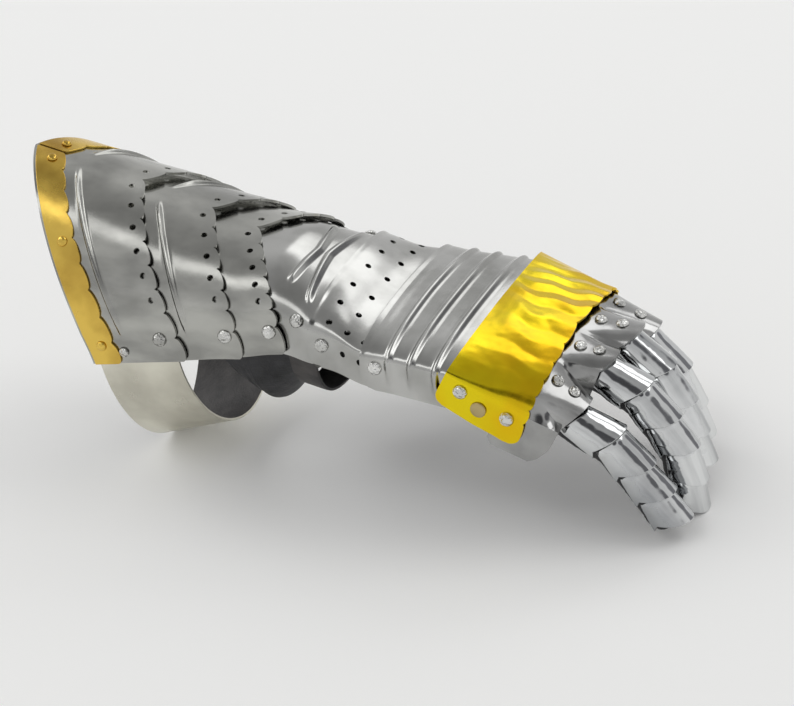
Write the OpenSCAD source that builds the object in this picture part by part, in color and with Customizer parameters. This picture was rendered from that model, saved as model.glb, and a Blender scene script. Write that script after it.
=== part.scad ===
// Right-hand steel gauntlet with brass trim and knuckle band, on a leather glove.
// X runs from the cuff to the fingertips, Z is up, and the thumb is on the +Y side.
// The pieces are laid out in a working frame whose origin is the first side pivot.
// stand() then tips that frame until the cuff's under plate and the outer fingertips rest on z = 0.

/* [Sheet] */
// Thickness of every steel plate
steel_t = 1.2; // [0.9:0.1:1.6]
// Thickness of the brass strips and the knuckle band
brass_t = 1; // [0.8:0.1:1.4]
// Thickness of the glove leather
leather_t = 1.4; // [1:0.1:2]
// Gap between two plates at a side pivot
side_gap = 0.3; // [0.25:0.05:0.5]
// Gap between two cuff plates at the crown
cuff_gap = 2.3; // [2.1:0.1:3]
// Gap between two hand plates at the crown
hand_gap = 1.4; // [1.2:0.1:2]

/* [Cuff] */
// Half width of the cuff plate
cuff_half_w = 49.5; // [46:0.5:56]
// Height of the cuff plate's crown above the first pivot
cuff_crown = 52.4; // [48:0.2:58]
// Rise of the crown for each millimetre towards the rear
cuff_flare = 0.39; // [0.3:0.01:0.46]
// Length of the cuff plate's side behind the first pivot
cuff_side = 39.6; // [34:0.2:46]
// How far the rear point of the cuff stands behind its sides
cuff_point = 30.8; // [22:0.2:36]
// How far the front edge of a cuff plate falls back at the crown
chevron = 27; // [20:0.5:30]
// Depth of one scallop
scallop = 2.4; // [1.2:0.1:3.2]
// Diameter of a breathing hole
hole_d = 3; // [2:0.1:4]
// Width of the brass strip
trim_w = 15.5; // [11:0.5:17]
// Depth of the under plate below the first pivot at its rear edge
under_depth = 74; // [64:1:84]
// Depth lost by the under plate towards its front edge
under_rise = 8; // [4:1:12]

/* [Side pivots] */
// Diameter of a rivet shank
shank_d = 4; // [3:0.1:5]
// Diameter of a rivet head
head_d = 7; // [6:0.1:8]
// Height of a rivet head
head_h = 2.5; // [1.8:0.1:3]
// Diameter of a small trim rivet head
small_head_d = 5; // [4:0.1:5.8]
// Height of a small trim rivet head
small_head_h = 1.8; // [1.2:0.1:2.4]
// Diameter of a small trim rivet shank
small_shank_d = 2.4; // [2:0.1:3]
// Diameter of a finger rivet head
lobe_head_d = 6; // [5:0.1:6.6]
// Height of a finger rivet head
lobe_head_h = 2; // [1.4:0.1:2.6]
// Diameter of a finger rivet shank
lobe_shank_d = 2.8; // [2:0.1:3.4]
// Play between a pivot shank and the plate that turns on it
pivot_play = 0.08; // [0.05:0.01:0.1]
// Depth of each plate's side below its pivots
side_drop = 12; // [9:0.5:14]
// Pivot spacing along the upper cuff lame
upper_step = 32.8; // [30:0.2:36]
// Pivot spacing along the lower cuff lame
lower_step = 21.8; // [20:0.2:25]
// Pivot spacing along the wrist lame
wrist_step = 28.3; // [26:0.2:31]
// Pivot spacing along the perforated lame
perforated_step = 29.5; // [28:0.1:33]
// Pivot spacing along the ribbed back-of-hand lame
ribbed_step = 44; // [42:0.2:48]
// Pivot spacing along the brass knuckle band
band_step = 24; // [22:0.2:27]

/* [Hand widths] */
// How much each side of the upper cuff lame draws in from its rear to its front pivot
upper_taper = 2.2; // [1.6:0.1:3]
// How much each side of the lower cuff lame draws in from its rear to its front pivot
lower_taper = 1.9; // [1.4:0.1:2.6]
// How much each side stands out from the front of the lower cuff lame to the rear of the perforated lame
wrist_flare = 3.6; // [2.6:0.1:4.6]
// How much each side stands out from there to the rear of the ribbed lame
palm_flare = 6.6; // [5.6:0.1:7.6]
// How much each side stands out from there to the rear of the knuckle band
knuckle_flare = 5.4; // [4.4:0.1:6.4]

/* [Fingers] */
// Distance between neighbouring finger centres
finger_pitch = 24.5; // [24.2:0.1:26]
// Outer radius at the front of the first finger lame
finger_r = 12; // [11:0.1:12]
// How much the front radius shrinks from one lame to the next
finger_taper = 0.25; // [0.1:0.05:0.35]
// Gap between two finger lames
finger_gap = 0.8; // [0.7:0.05:1]
// Hinge spacing along the first finger lame
finger_len_1 = 20; // [18:0.5:23]
// Hinge spacing along the second finger lame
finger_len_2 = 16.5; // [15.5:0.5:20]
// Hinge spacing along the third finger lame
finger_len_3 = 15; // [14:0.5:18]
// Hinge spacing along the fourth finger lame
finger_len_4 = 14; // [13:0.5:17]
// Hinge spacing along the fifth finger lame
finger_len_5 = 13; // [12.5:0.5:16]
// Outer radius of a thumb lame
thumb_r = 13.5; // [12.5:0.1:14.5]
// Length of the thumb plate
thumb_plate_len = 34; // [30:1:38]
// Length of a thumb lame
thumb_lame_len = 18; // [16:0.5:21]

/* [Hidden] */

steel = [0.72, 0.73, 0.74];
brass = [0.85, 0.66, 0.22];
bright_brass = [0.93, 0.78, 0.1];
copper = [0.72, 0.5, 0.36];
leather = [0.09, 0.09, 0.1];

// Slope of each plate's own X axis in the working frame, in degrees
cuff_slope = 15.2;
upper_slope = 13.4;
lower_slope = 15.7;
wrist_slope = 3.9;
perforated_slope = -1.5;
ribbed_slope = 2.3;
band_slope = -23;
base_slope = -14;

// Crown heights above the pivots
upper_crown = 38;
lower_crown = 30;
wrist_crown = 17.2;
palm_crown = 13;
knuckle_crown = 14;
band_front_crown = 22.5;

pad = 4.5;
reach = pad + 3;
arch_base = 4;
arch_share = 0.84;
roundness = 2.25;
flute_h = 1.7;
flute_half = 2.6;
tuck = 12;
tail = 7;
side_step = steel_t + side_gap;
fit = 0.05;
// Room between a riveted pair of plates and the burr that holds them, and the burr's own height
burr_gap = 0.2;
burr = 0.9;
pivot_grip = 2 * steel_t + side_gap + burr_gap;
// Facets round a shank, and round a hole or a small shank
shank_fn = 48;
hole_fn = 30;
// Set-back of a breathing hole from its scalloped edge
hole_back = 4;
lower_hole_back = 4.5;
eps = 0.01;

// Places of the side pivots in the working frame
function along(p, step, slope) = [p[0] + step * cos(slope), p[1] + step * sin(slope)];
p1 = [0, 0];
p2 = along(p1, upper_step, upper_slope);
p3 = along(p2, lower_step, lower_slope);
p4 = along(p3, wrist_step, wrist_slope);
p5 = along(p4, perforated_step, perforated_slope);
p6 = along(p5, ribbed_step, ribbed_slope);
p7 = along(p6, band_step, band_slope);

// One cross-section: an arch over two upright sides. u runs from -1 to 1 round the plate.
function sgn(u) = u < 0 ? -1 : 1;
function arch_angle(u) = min(abs(u) / arch_share, 1) * 90;
function side_part(u) = max(abs(u) - arch_share, 0) / (1 - arch_share);
function section(u, w, h, drop) = [
  sgn(u) * w * pow(sin(arch_angle(u)), 2 / roundness),
  arch_base + (h - arch_base) * pow(max(cos(arch_angle(u)), 0), 2 / roundness)
    - side_part(u) * (arch_base + drop)];

// A row of a plate: [x at the sides, x at the crown, lift, scallop depth, where the lift has faded].
// A shape is [scallops on each side of the crown, how sharply the rows point at the crown]
function row_x(row, u, shape) = row[0] + (row[1] - row[0]) * pow(1 - abs(u), shape[1])
  + row[3] * sqrt(max(0, 1 - pow(2 * fraction(abs(u) * shape[0]) - 1, 2)));
plain = [1, 1.2];
// The three rows of one raised flute, x giving its place at the sides and at the crown
function flute_rows(x, fade, half = flute_half) = [
  [x[0] - half, x[1] - half, 0, 0, 1],
  [x[0], x[1], flute_h, 0, fade],
  [x[0] + half, x[1] + half, 0, 0, 1]];
function fraction(v) = v - floor(v + eps / 10);
function row_lift(row, u) = row[2] * min(1, max(0, (row[4] - abs(u)) / 0.14));

// A point of a plate's outer face, or of its inner face when thick is the sheet's thickness
function plate_point(u, x, lift, widths, heights, thick, drop) =
  let (s = section(u, lookup(x, widths) - thick + lift, lookup(x, heights) - thick + lift, drop))
  [x, s[0], s[1]];

// A curved sheet on rows and columns, closed by its four rims
module sheet(rows, columns, shape, widths, heights, thick, drop) {
  nr = len(rows);
  nc = columns + 1;
  us = [for (i = [0:columns]) -1 + 2 * i / columns];
  outer = [for (r = rows) for (u = us)
    plate_point(u, row_x(r, u, shape), row_lift(r, u), widths, heights, 0, drop)];
  inner = [for (r = rows) for (u = us)
    plate_point(u, row_x(r, u, shape), row_lift(r, u), widths, heights, thick, drop)];
  closed_sheet(outer, inner, nr, nc);
}

// Joins two equal grids of points into one closed sheet
module closed_sheet(outer, inner, nr, nc) {
  n = nr * nc;
  polyhedron(
    points = concat(outer, inner),
    faces = concat(
      [for (j = [0:nr - 2]) for (i = [0:nc - 2]) each [
        [j * nc + i, j * nc + i + 1, (j + 1) * nc + i + 1],
        [j * nc + i, (j + 1) * nc + i + 1, (j + 1) * nc + i]]],
      [for (j = [0:nr - 2]) for (i = [0:nc - 2]) each [
        [n + j * nc + i, n + (j + 1) * nc + i + 1, n + j * nc + i + 1],
        [n + j * nc + i, n + (j + 1) * nc + i, n + (j + 1) * nc + i + 1]]],
      [for (i = [0:nc - 2]) each [
        [i, n + i, n + i + 1],
        [i, n + i + 1, i + 1],
        [(nr - 1) * nc + i, n + (nr - 1) * nc + i + 1, n + (nr - 1) * nc + i],
        [(nr - 1) * nc + i, (nr - 1) * nc + i + 1, n + (nr - 1) * nc + i + 1]]],
      [for (j = [0:nr - 2]) each [
        [j * nc, n + (j + 1) * nc, n + j * nc],
        [j * nc, (j + 1) * nc, n + (j + 1) * nc],
        [j * nc + nc - 1, n + j * nc + nc - 1, n + (j + 1) * nc + nc - 1],
        [j * nc + nc - 1, n + (j + 1) * nc + nc - 1, (j + 1) * nc + nc - 1]]]),
    convexity = 10);
}

// The crown height of a plate that lies under another one, seen in its own frame.
// The outer plate's pivot is at start on its own X axis, and it slopes more steeply by turn degrees
function under(x, heights, start, gap, turn) =
  let (z = lookup(start + x, heights) - gap)
  [x * cos(turn) - z * sin(turn), x * sin(turn) + z * cos(turn)];
function from_pivot(start, p) = [start + p[0], p[1]];

// Places children on a plate's face, with Z along the outward normal
module on_plate(u, x, widths, heights, drop) {
  step = 0.01;
  p = plate_point(u, x, 0, widths, heights, 0, drop);
  function near(du, dx) = plate_point(u + du, x + dx, 0, widths, heights, 0, drop);
  a = near(step, 0) - near(-step, 0);
  b = near(0, step) - near(0, -step);
  n = cross(b, a) / norm(cross(b, a));
  translate(p)
    rotate([0, acos(n[2]), atan2(n[1], n[0])])
      children();
}

// Breathing holes, one in each scallop, set back from the front edge
module scallop_holes(row, shape, back, widths, heights) {
  for (side = [-1, 1])
    for (k = [0:shape[0] - 3])
      let (u = side * (k + 0.5) / shape[0])
        on_plate(u, row_x([row[0], row[1], 0, 0, 0], u, shape) - back, widths, heights, side_drop)
          translate([0, 0, -2 * steel_t])
            cylinder(d = hole_d, h = 3 * steel_t, $fn = hole_fn);
}

// Bores through both upright sides at a pivot
module pivot_bores(x, w, play) {
  for (side = [-1, 1])
    translate([x, side * (w + 1), 0])
      rotate([side * 90, 0, 0])
        cylinder(d = shank_d + 2 * play, h = 4 * steel_t, $fn = shank_fn);
}

// A domed rivet on the Z axis: its head sits on z = 0 and its shank ends in a flat burr below
module rivet(d, h, shank, grip, burr_h = burr) {
  rotate_extrude($fn = shank_fn)
    polygon(concat(
      [[0, -grip - burr_h], [shank * 0.75, -grip - burr_h], [shank * 0.75, -grip], [shank / 2, -grip],
        [shank / 2, 0]],
      [for (a = [0:15:90]) [d / 2 * pow(cos(a), 0.8), h * sin(a)]]));
}

// The two rivets of a side pivot, their heads on the outer plate
module pivot_pair(x, w, grip) {
  for (side = [-1, 1])
    translate([x, side * w, 0])
      rotate([-side * 90, 0, 0])
        rivet(head_d, head_h, shank_d, grip);
}

// The rest position of the whole gauntlet
module stand() {
  translate([-middle_x, -middle_y, rest_z])
    rotate([0, rest_tilt, 0])
      children();
}
module at(p, slope) {
  stand()
    translate([p[0], 0, p[1]])
      rotate([0, -slope, 0])
        children();
}

// Cuff plate
cuff_shape = [8, 1.4];
cuff_widths = [[-100, cuff_half_w + 1], [-cuff_side, cuff_half_w + 0.6], [-2 * pad, cuff_half_w],
  [60, cuff_half_w]];
cuff_heights = [[-100, cuff_crown + 100 * cuff_flare], [0, cuff_crown], [60, cuff_crown - 60 * cuff_flare]];
cuff_rear = [-cuff_side, -cuff_side - cuff_point];
cuff_front = [12, 12 - chevron];
cuff_flute = trim_w + 7;
cuff_rows = [
  [cuff_rear[0], cuff_rear[1], 0, 0, 1],
  each flute_rows([cuff_rear[0] + cuff_flute, cuff_rear[1] + cuff_flute], 0.95),
  [-pad, (cuff_rear[1] + cuff_front[1]) / 2 + 8, 0, 0, 1],
  [cuff_front[0] - scallop, cuff_front[1] - scallop, 0, scallop, 1]];
under_rivet = [-21, -6];
trim_us = [0.06, 0.47, 0.9];

module cuff_body() {
  sheet(cuff_rows, 64, cuff_shape, cuff_widths, cuff_heights, steel_t, side_drop);
}
module cuff_plate() {
  color(steel)
    at(p1, cuff_slope)
      difference() {
        cuff_body();
        pivot_bores(0, cuff_half_w, fit);
        scallop_holes(cuff_rows[5], cuff_shape, hole_back, cuff_widths, cuff_heights);
        translate([under_rivet[0], 0, under_rivet[1]])
          for (side = [-1, 1])
            translate([0, side * (cuff_half_w + 2), 0])
              rotate([side * 90, 0, 0])
                cylinder(d = small_shank_d + 2 * fit, h = 5 * steel_t, $fn = hole_fn);
        for (side = [-1, 1])
          for (u = trim_us)
            trim_place(side * u)
              translate([0, 0, -4])
                cylinder(d = small_shank_d + 2 * fit, h = 8, $fn = hole_fn);
      }
}

// Brass strips along the rear edge, one each side of the point
trim_lift = 0.15;
module trim_place(u) {
  on_plate(u, row_x(cuff_rows[0], u, cuff_shape) + trim_w * 0.6, cuff_widths, cuff_heights, side_drop)
    children();
}
module trim_strip(side) {
  mitre = 0.004;
  columns = 32;
  rows = [
    [cuff_rear[0] + 1.6, cuff_rear[1] + 1.6, trim_lift + brass_t, 0, 2],
    [cuff_rear[0] + trim_w - 1, cuff_rear[1] + trim_w - 1, trim_lift + brass_t, 1.2, 2]];
  us = [for (i = [0:columns]) side * (mitre + (1 - mitre) * i / columns)];
  order = side > 0 ? us : [for (i = [columns:-1:0]) us[i]];
  outer = [for (r = rows) for (u = order)
    plate_point(u, row_x(r, u, cuff_shape), r[2], cuff_widths, cuff_heights, 0, side_drop)];
  inner = [for (r = rows) for (u = order)
    plate_point(u, row_x(r, u, cuff_shape), trim_lift, cuff_widths, cuff_heights, 0, side_drop)];
  at(p1, cuff_slope)
    difference() {
      closed_sheet(outer, inner, 2, columns + 1);
      for (u = trim_us)
        trim_place(side * u)
          translate([0, 0, -4])
            cylinder(d = small_shank_d + 2 * fit, h = 8, $fn = hole_fn);
    }
}
module cuff_trim_near() {
  color(brass) trim_strip(-1);
}
module cuff_trim_far() {
  color(brass) trim_strip(1);
}
module trim_rivets() {
  seat = trim_lift + brass_t + 0.08;
  color(brass)
    at(p1, cuff_slope)
      for (side = [-1, 1])
        for (k = [0:2])
          trim_place(side * trim_us[k])
            translate([0, 0, seat])
              rivet(small_head_d, small_head_h, small_shank_d,
                seat + 0.5 + (k == 2 ? 2 * steel_t + 0.4 : steel_t));
}

// The under plate closes the cuff below the forearm
under_w = cuff_half_w - steel_t - 0.1;
under_front = 6;
under_roundness = 1.9;
function under_point(v, x, thick) =
  let (
    top = 2,
    depth = under_depth - under_rise * (x + cuff_side) / (under_front + cuff_side),
    a = 90 * (1 - abs(v)),
    w = under_w - thick,
    d = depth - side_drop - thick)
  abs(v) > 0.999 ? [x, sgn(v) * w, top]
  : [x, sgn(v) * w * pow(max(sin(90 - a), 0), 2 / under_roundness),
      -side_drop - d * pow(max(cos(90 - a), 0), 2 / under_roundness)];
module under_plate() {
  half = 14;
  vs = concat([-1], [for (i = [-half:half]) i / half * 0.998], [1]);
  xs = [-cuff_side + 2.5, under_front];
  outer = [for (x = xs) for (v = vs) under_point(v, x, 0)];
  inner = [for (x = xs) for (v = vs) under_point(v, x, steel_t)];
  color(steel)
    at(p1, cuff_slope)
      difference() {
        closed_sheet(inner, outer, 2, len(vs));
        for (side = [-1, 1]) {
          translate([under_rivet[0], side * (under_w + 2), under_rivet[1]])
            rotate([side * 90, 0, 0])
              cylinder(d = small_shank_d + 2 * fit, h = 5 * steel_t, $fn = hole_fn);
          trim_place(side * trim_us[2])
            translate([0, 0, -6])
              cylinder(d = small_shank_d + 2 * fit, h = 8, $fn = hole_fn);
          translate([-pad - head_d / 2 - 1, side * under_w - 4 * steel_t, -side_drop - 1])
            cube([40, 8 * steel_t, side_drop + 6]);
        }
      }
}
module under_plate_rivets() {
  color(steel)
    at(p1, cuff_slope)
      for (side = [-1, 1])
        translate([under_rivet[0], side * (cuff_half_w + 0.42), under_rivet[1]])
          rotate([-side * 90, 0, 0])
            rivet(small_head_d, small_head_h, small_shank_d, 2 * steel_t + 0.7);
}
module cuff_pivots() {
  color(steel)
    at(p1, cuff_slope)
      pivot_pair(0, cuff_half_w, pivot_grip);
}

// Upper cuff lame
upper_rear_w = cuff_half_w - side_step;
upper_half_w = upper_rear_w - upper_taper;
upper_flute = [15, -12];
upper_ease = 2.4;
upper_turn = cuff_slope - upper_slope;
upper_widths = [[-60, upper_rear_w], [reach, upper_rear_w], [upper_step - reach, upper_half_w],
  [100, upper_half_w]];
upper_heights = [
  under(-60, cuff_heights, 0, steel_t + cuff_gap + upper_ease, upper_turn),
  under(8, cuff_heights, 0, steel_t + cuff_gap, upper_turn),
  [upper_step - 8, upper_crown + 2.6],
  [100, upper_crown - 0.33 * (100 - upper_step)]];
upper_shape = [7, 2];
upper_rows = [
  [-tail, cuff_front[1] - tuck, 0, 0, 1],
  [pad, -17, 0, 0, 1],
  each flute_rows(upper_flute, 0.97),
  [upper_step - pad, 7, 0, 0, 1],
  [upper_step + 7.5 - scallop, upper_step - 16 - scallop, 0, scallop, 1]];
module upper_lame() {
  color(steel)
    at(p1, upper_slope)
      difference() {
        sheet(upper_rows, 56, upper_shape, upper_widths, upper_heights, steel_t, side_drop);
        pivot_bores(0, upper_rear_w, pivot_play);
        pivot_bores(upper_step, upper_half_w, fit);
        scallop_holes(upper_rows[6], upper_shape, hole_back, upper_widths, upper_heights);
      }
}
module upper_pivots() {
  color(steel)
    at(p1, upper_slope)
      pivot_pair(upper_step, upper_half_w, pivot_grip);
}

// Lower cuff lame
lower_rear_w = upper_half_w - side_step;
lower_half_w = lower_rear_w - lower_taper;
lower_ease = 2;
lower_turn = upper_slope - lower_slope;
lower_widths = [[-60, lower_rear_w], [reach, lower_rear_w], [lower_step - reach, lower_half_w],
  [100, lower_half_w]];
lower_heights = [
  under(-40, upper_heights, upper_step, steel_t + cuff_gap + lower_ease, lower_turn),
  under(4, upper_heights, upper_step, steel_t + cuff_gap, lower_turn),
  [lower_step - 4, lower_crown + 0.8],
  [100, lower_crown - 0.21 * (100 - lower_step)]];
lower_shape = [7, 2.4];
lower_rows = [
  [-tail, -16 - tuck, 0, 0, 1],
  [pad, -12, 0, 0, 1],
  [lower_step - pad, 0, 0, 0, 1],
  [lower_step + 6.2 - scallop, lower_step - 15 - scallop, 0, scallop, 1]];
module lower_lame() {
  color(steel)
    at(p2, lower_slope)
      difference() {
        sheet(lower_rows, 56, lower_shape, lower_widths, lower_heights, steel_t, side_drop);
        pivot_bores(0, lower_rear_w, pivot_play);
        pivot_bores(lower_step, lower_half_w, fit);
        scallop_holes(lower_rows[3], lower_shape, lower_hole_back, lower_widths, lower_heights);
      }
}
// The wrist lame stands in from the lower lame a little more than the others do
wrist_inset = 0.9;
lower_grip = pivot_grip + wrist_inset;
module lower_pivots() {
  color(steel)
    at(p2, lower_slope)
      pivot_pair(lower_step, lower_half_w, lower_grip);
}

// Half widths at the rear of the perforated lame, of the ribbed lame and of the knuckle band
wrist_half_w = lower_half_w + wrist_flare;
palm_half_w = wrist_half_w + palm_flare;
knuckle_half_w = palm_half_w + knuckle_flare;

// Widths and crown heights of the hand plates, from the knuckles back: each follows the one over it
copper_place = [11, -3];
band_front_w = knuckle_half_w - 1.2;
band_widths = [[-60, knuckle_half_w], [copper_place[0] + 4.2, knuckle_half_w],
  [band_step - 4.8, band_front_w], [100, band_front_w]];
band_heights = [[-60, knuckle_crown - 60 * 0.34], [0, knuckle_crown], [band_step, band_front_crown],
  [100, band_front_crown + 0.3 * (100 - band_step)]];
base_inset = 0.4;
base_rear_w = band_front_w - brass_t - side_gap - base_inset;
base_turn = band_slope - base_slope;
base_rear_low = under(-8, band_heights, band_step, brass_t + hand_gap, base_turn);
base_rear_high = under(9, band_heights, band_step, brass_t + hand_gap, base_turn);
base_rise = (base_rear_high[1] - base_rear_low[1]) / (base_rear_high[0] - base_rear_low[0]);
ribbed_inset = 1.4;
ribbed_front_w = knuckle_half_w - brass_t - side_gap - ribbed_inset;
ribbed_turn = band_slope - ribbed_slope;
ribbed_widths = [[-60, palm_half_w], [reach, palm_half_w], [ribbed_step - reach, ribbed_front_w],
  [100, ribbed_front_w]];
ribbed_heights = [
  [-60, palm_crown],
  [10, palm_crown],
  from_pivot(ribbed_step, under(-14, band_heights, 0, brass_t + hand_gap, ribbed_turn)),
  from_pivot(ribbed_step, under(2, band_heights, 0, brass_t + hand_gap + 0.4, ribbed_turn))];
perforated_front_w = palm_half_w - side_step;
perforated_turn = ribbed_slope - perforated_slope;
perforated_widths = [[-60, wrist_half_w], [reach, wrist_half_w],
  [perforated_step - reach, perforated_front_w], [100, perforated_front_w]];
perforated_heights = [
  [-60, wrist_crown + 60 * 0.16],
  [0, wrist_crown],
  from_pivot(perforated_step, under(-13.5, ribbed_heights, 0, steel_t + hand_gap + 0.2, perforated_turn)),
  from_pivot(perforated_step, under(9, ribbed_heights, 0, steel_t + hand_gap + 0.3, perforated_turn))];
wrist_rear_w = lower_half_w - side_step - wrist_inset;
wrist_ease = 1.5;
wrist_front_w = wrist_half_w - side_step;
wrist_rear_turn = lower_slope - wrist_slope;
wrist_front_turn = perforated_slope - wrist_slope;
wrist_widths = [[-60, wrist_rear_w], [reach, wrist_rear_w], [wrist_step - reach, wrist_front_w],
  [100, wrist_front_w]];
wrist_heights = [
  under(-36, lower_heights, lower_step, steel_t + cuff_gap + wrist_ease, wrist_rear_turn),
  under(2, lower_heights, lower_step, steel_t + cuff_gap, wrist_rear_turn),
  from_pivot(wrist_step, under(-9, perforated_heights, 0, steel_t + hand_gap, wrist_front_turn)),
  from_pivot(wrist_step, under(9, perforated_heights, 0, steel_t + hand_gap + 0.3, wrist_front_turn))];

// Wrist lame with two slanted flutes that meet at the crown
wrist_flute_half = 2.5;
wrist_rows = [
  [-tail, -15 - tuck, 0, 0, 1],
  each flute_rows([0.5, 8], 0.42, wrist_flute_half),
  each flute_rows([20.5, 13], 0.5, wrist_flute_half),
  [wrist_step + tail, wrist_step + tail, 0, 0, 1]];
strap_u = 0.72;
strap_x = 14.5;
module wrist_lame() {
  color(steel)
    at(p3, wrist_slope)
      difference() {
        sheet(wrist_rows, 40, plain, wrist_widths, wrist_heights, steel_t, side_drop);
        pivot_bores(0, wrist_rear_w, pivot_play);
        pivot_bores(wrist_step, wrist_front_w, pivot_play);
        strap_bores();
      }
}
module strap_place(side) {
  on_plate(side * strap_u, strap_x, wrist_widths, wrist_heights, side_drop)
    children();
}
module strap_bores() {
  for (side = [-1, 1])
    strap_place(side)
      translate([0, 0, -8])
        cylinder(d = shank_d + 2 * fit, h = 10, $fn = shank_fn);
}
module wrist_strap_rivets() {
  seat = 0.55;
  color(steel)
    at(p3, wrist_slope)
      for (side = [-1, 1])
        strap_place(side)
          translate([0, 0, seat])
            rivet(head_d, head_h, shank_d, seat + steel_t + strap_off + leather_t + 1.1);
}

// The wrist strap runs under the wrist from one strap rivet to the other
strap_off = 0.6;
strap_half = 8;
strap_depth = 41;
strap_curve = 0.7;
function strap_point(v, x, thick) =
  let (
    k = abs(v),
    w = lookup(x, wrist_widths) - steel_t - strap_off - thick,
    h = lookup(x, wrist_heights) - steel_t - strap_off - thick,
    a = min(k / 0.7, 1) * 90,
    s = section(arch_share - (k - 0.7) * 0.75, w, h, side_drop))
  k > 0.7 ? [x, sgn(v) * s[0], s[1]]
  : [x, sgn(v) * w * pow(sin(a), strap_curve),
      arch_base - (strap_depth + arch_base - thick) * pow(max(cos(a), 0), strap_curve)];
module wrist_strap() {
  half = 15;
  vs = [for (i = [-half:half]) i / half];
  xs = [strap_x - strap_half, strap_x + strap_half];
  outer = [for (x = xs) for (v = vs) strap_point(v, x, 0)];
  inner = [for (x = xs) for (v = vs) strap_point(v, x, leather_t)];
  color(leather)
    at(p3, wrist_slope)
      difference() {
        closed_sheet(inner, outer, 2, len(vs));
        strap_bores();
      }
}

// Perforated lame over the wrist
perforated_rows = [
  [-7.5, -7, 0, 0, 1],
  [pad, pad, 0, 0, 1],
  [perforated_step - 13.5, perforated_step - 13.5, 0, 0, 1],
  [perforated_step - pad, perforated_step - pad, 0, 0, 1],
  [perforated_step + tail, perforated_step + tail, 0, 0, 1]];
hole_columns = [1.5, 11.2, 20.8];
upper_holes = [-0.58, -0.34, -0.15, 0.02, 0.19, 0.38, 0.6];
low_hole = 0.89;
module perforated_lame() {
  color(steel)
    at(p4, perforated_slope)
      difference() {
        sheet(perforated_rows, 40, plain, perforated_widths, perforated_heights, steel_t, side_drop);
        pivot_bores(0, wrist_half_w, fit);
        pivot_bores(perforated_step, perforated_front_w, pivot_play);
        for (x = hole_columns)
          for (u = x < head_d ? upper_holes : concat([-low_hole, low_hole], upper_holes))
            on_plate(u, x, perforated_widths, perforated_heights, side_drop)
              translate([0, 0, -2 * steel_t])
                cylinder(d = hole_d, h = 3 * steel_t, $fn = hole_fn);
      }
}
module wrist_pivots() {
  color(steel)
    at(p4, perforated_slope)
      pivot_pair(0, wrist_half_w, pivot_grip);
}

// Ribbed back-of-hand lame
ribs = [[7, 5.5], [18, 18], [30.5, 30.5]];
ribbed_rows = concat(
  [[-7, -8, 0, 0, 1]],
  [for (r = ribs) each flute_rows(r, 0.98)],
  [[ribbed_step - pad - 2, ribbed_step - pad - 2, 0, 0, 1]],
  [[ribbed_step + 4.8, ribbed_step + 4.8, 0, 0, 1]]);
module ribbed_lame() {
  color(steel)
    at(p5, ribbed_slope)
      difference() {
        sheet(ribbed_rows, 36, plain, ribbed_widths, ribbed_heights, steel_t, side_drop);
        pivot_bores(0, palm_half_w, fit);
        pivot_bores(ribbed_step, ribbed_front_w, pivot_play);
      }
}
module ribbed_pivots() {
  color(steel)
    at(p5, ribbed_slope)
      pivot_pair(0, palm_half_w, pivot_grip);
}

// Brass knuckle band, creased along the hand over the knuckles
band_waves = 14;
crease_h = 1.6;
band_rows = [
  [-9.5, -10.5, 0, 0, 1],
  [-5, -6, 1, 0, 0.62],
  [copper_place[0] + 4.2, copper_place[0], 1, 0, 0.62],
  [band_step - 3.7, band_step - 2 * pad, 1, 0, 0.62],
  [band_step + 8.5, band_step + 1.5, 1, 1.4, 0.62]];
band_shape = [band_waves / 2, 1];
function crease(u) = crease_h * (0.5 - 0.5 * cos(360 * abs(u) * band_waves / 2 + 40 * sin(540 * u)));
module knuckle_band() {
  columns = 56;
  us = [for (i = [0:columns]) -1 + 2 * i / columns];
  function corner(u, k) = abs(u) > 0.99 ? (k == 0 ? 2.2 : k == 4 ? -2.2 : 0) : 0;
  function band_point(k, u, thick) =
    plate_point(u, row_x(band_rows[k], u, band_shape) + corner(u, k), crease(u) * row_lift(band_rows[k], u),
      band_widths, band_heights, thick, side_drop);
  outer = [for (k = [0:4]) for (u = us) band_point(k, u, 0)];
  inner = [for (k = [0:4]) for (u = us) band_point(k, u, brass_t)];
  color(bright_brass)
    at(p6, band_slope)
      difference() {
        closed_sheet(outer, inner, 5, columns + 1);
        pivot_bores(0, knuckle_half_w, fit);
        pivot_bores(band_step, band_front_w, fit);
        translate([0, 0, copper_place[1]])
          pivot_bores(copper_place[0], knuckle_half_w, fit);
      }
}
module band_rear_pivots() {
  color(steel)
    at(p6, band_slope)
      pivot_pair(0, knuckle_half_w, brass_t + side_gap + ribbed_inset + steel_t + burr_gap);
}
module band_front_pivots() {
  color(steel)
    at(p6, band_slope)
      pivot_pair(band_step, band_front_w, brass_t + side_gap + base_inset + steel_t + burr_gap);
}
module copper_rivets() {
  w = knuckle_half_w + 0.02;
  color(copper)
    at(p6, band_slope)
      for (side = [-1, 1])
        translate([copper_place[0], side * w, copper_place[1]])
          rotate([-side * 90, 0, 0])
            rotate_extrude($fn = shank_fn)
              polygon([
                [0, -brass_t - 0.5], [3, -brass_t - 0.5], [3, -brass_t - 0.1], [shank_d / 2, -brass_t - 0.1],
                [shank_d / 2, 0.05], [3.8, 0.05], [3.8, 0.65], [3.3, 1.1], [0, 1.1]]);
}

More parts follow.
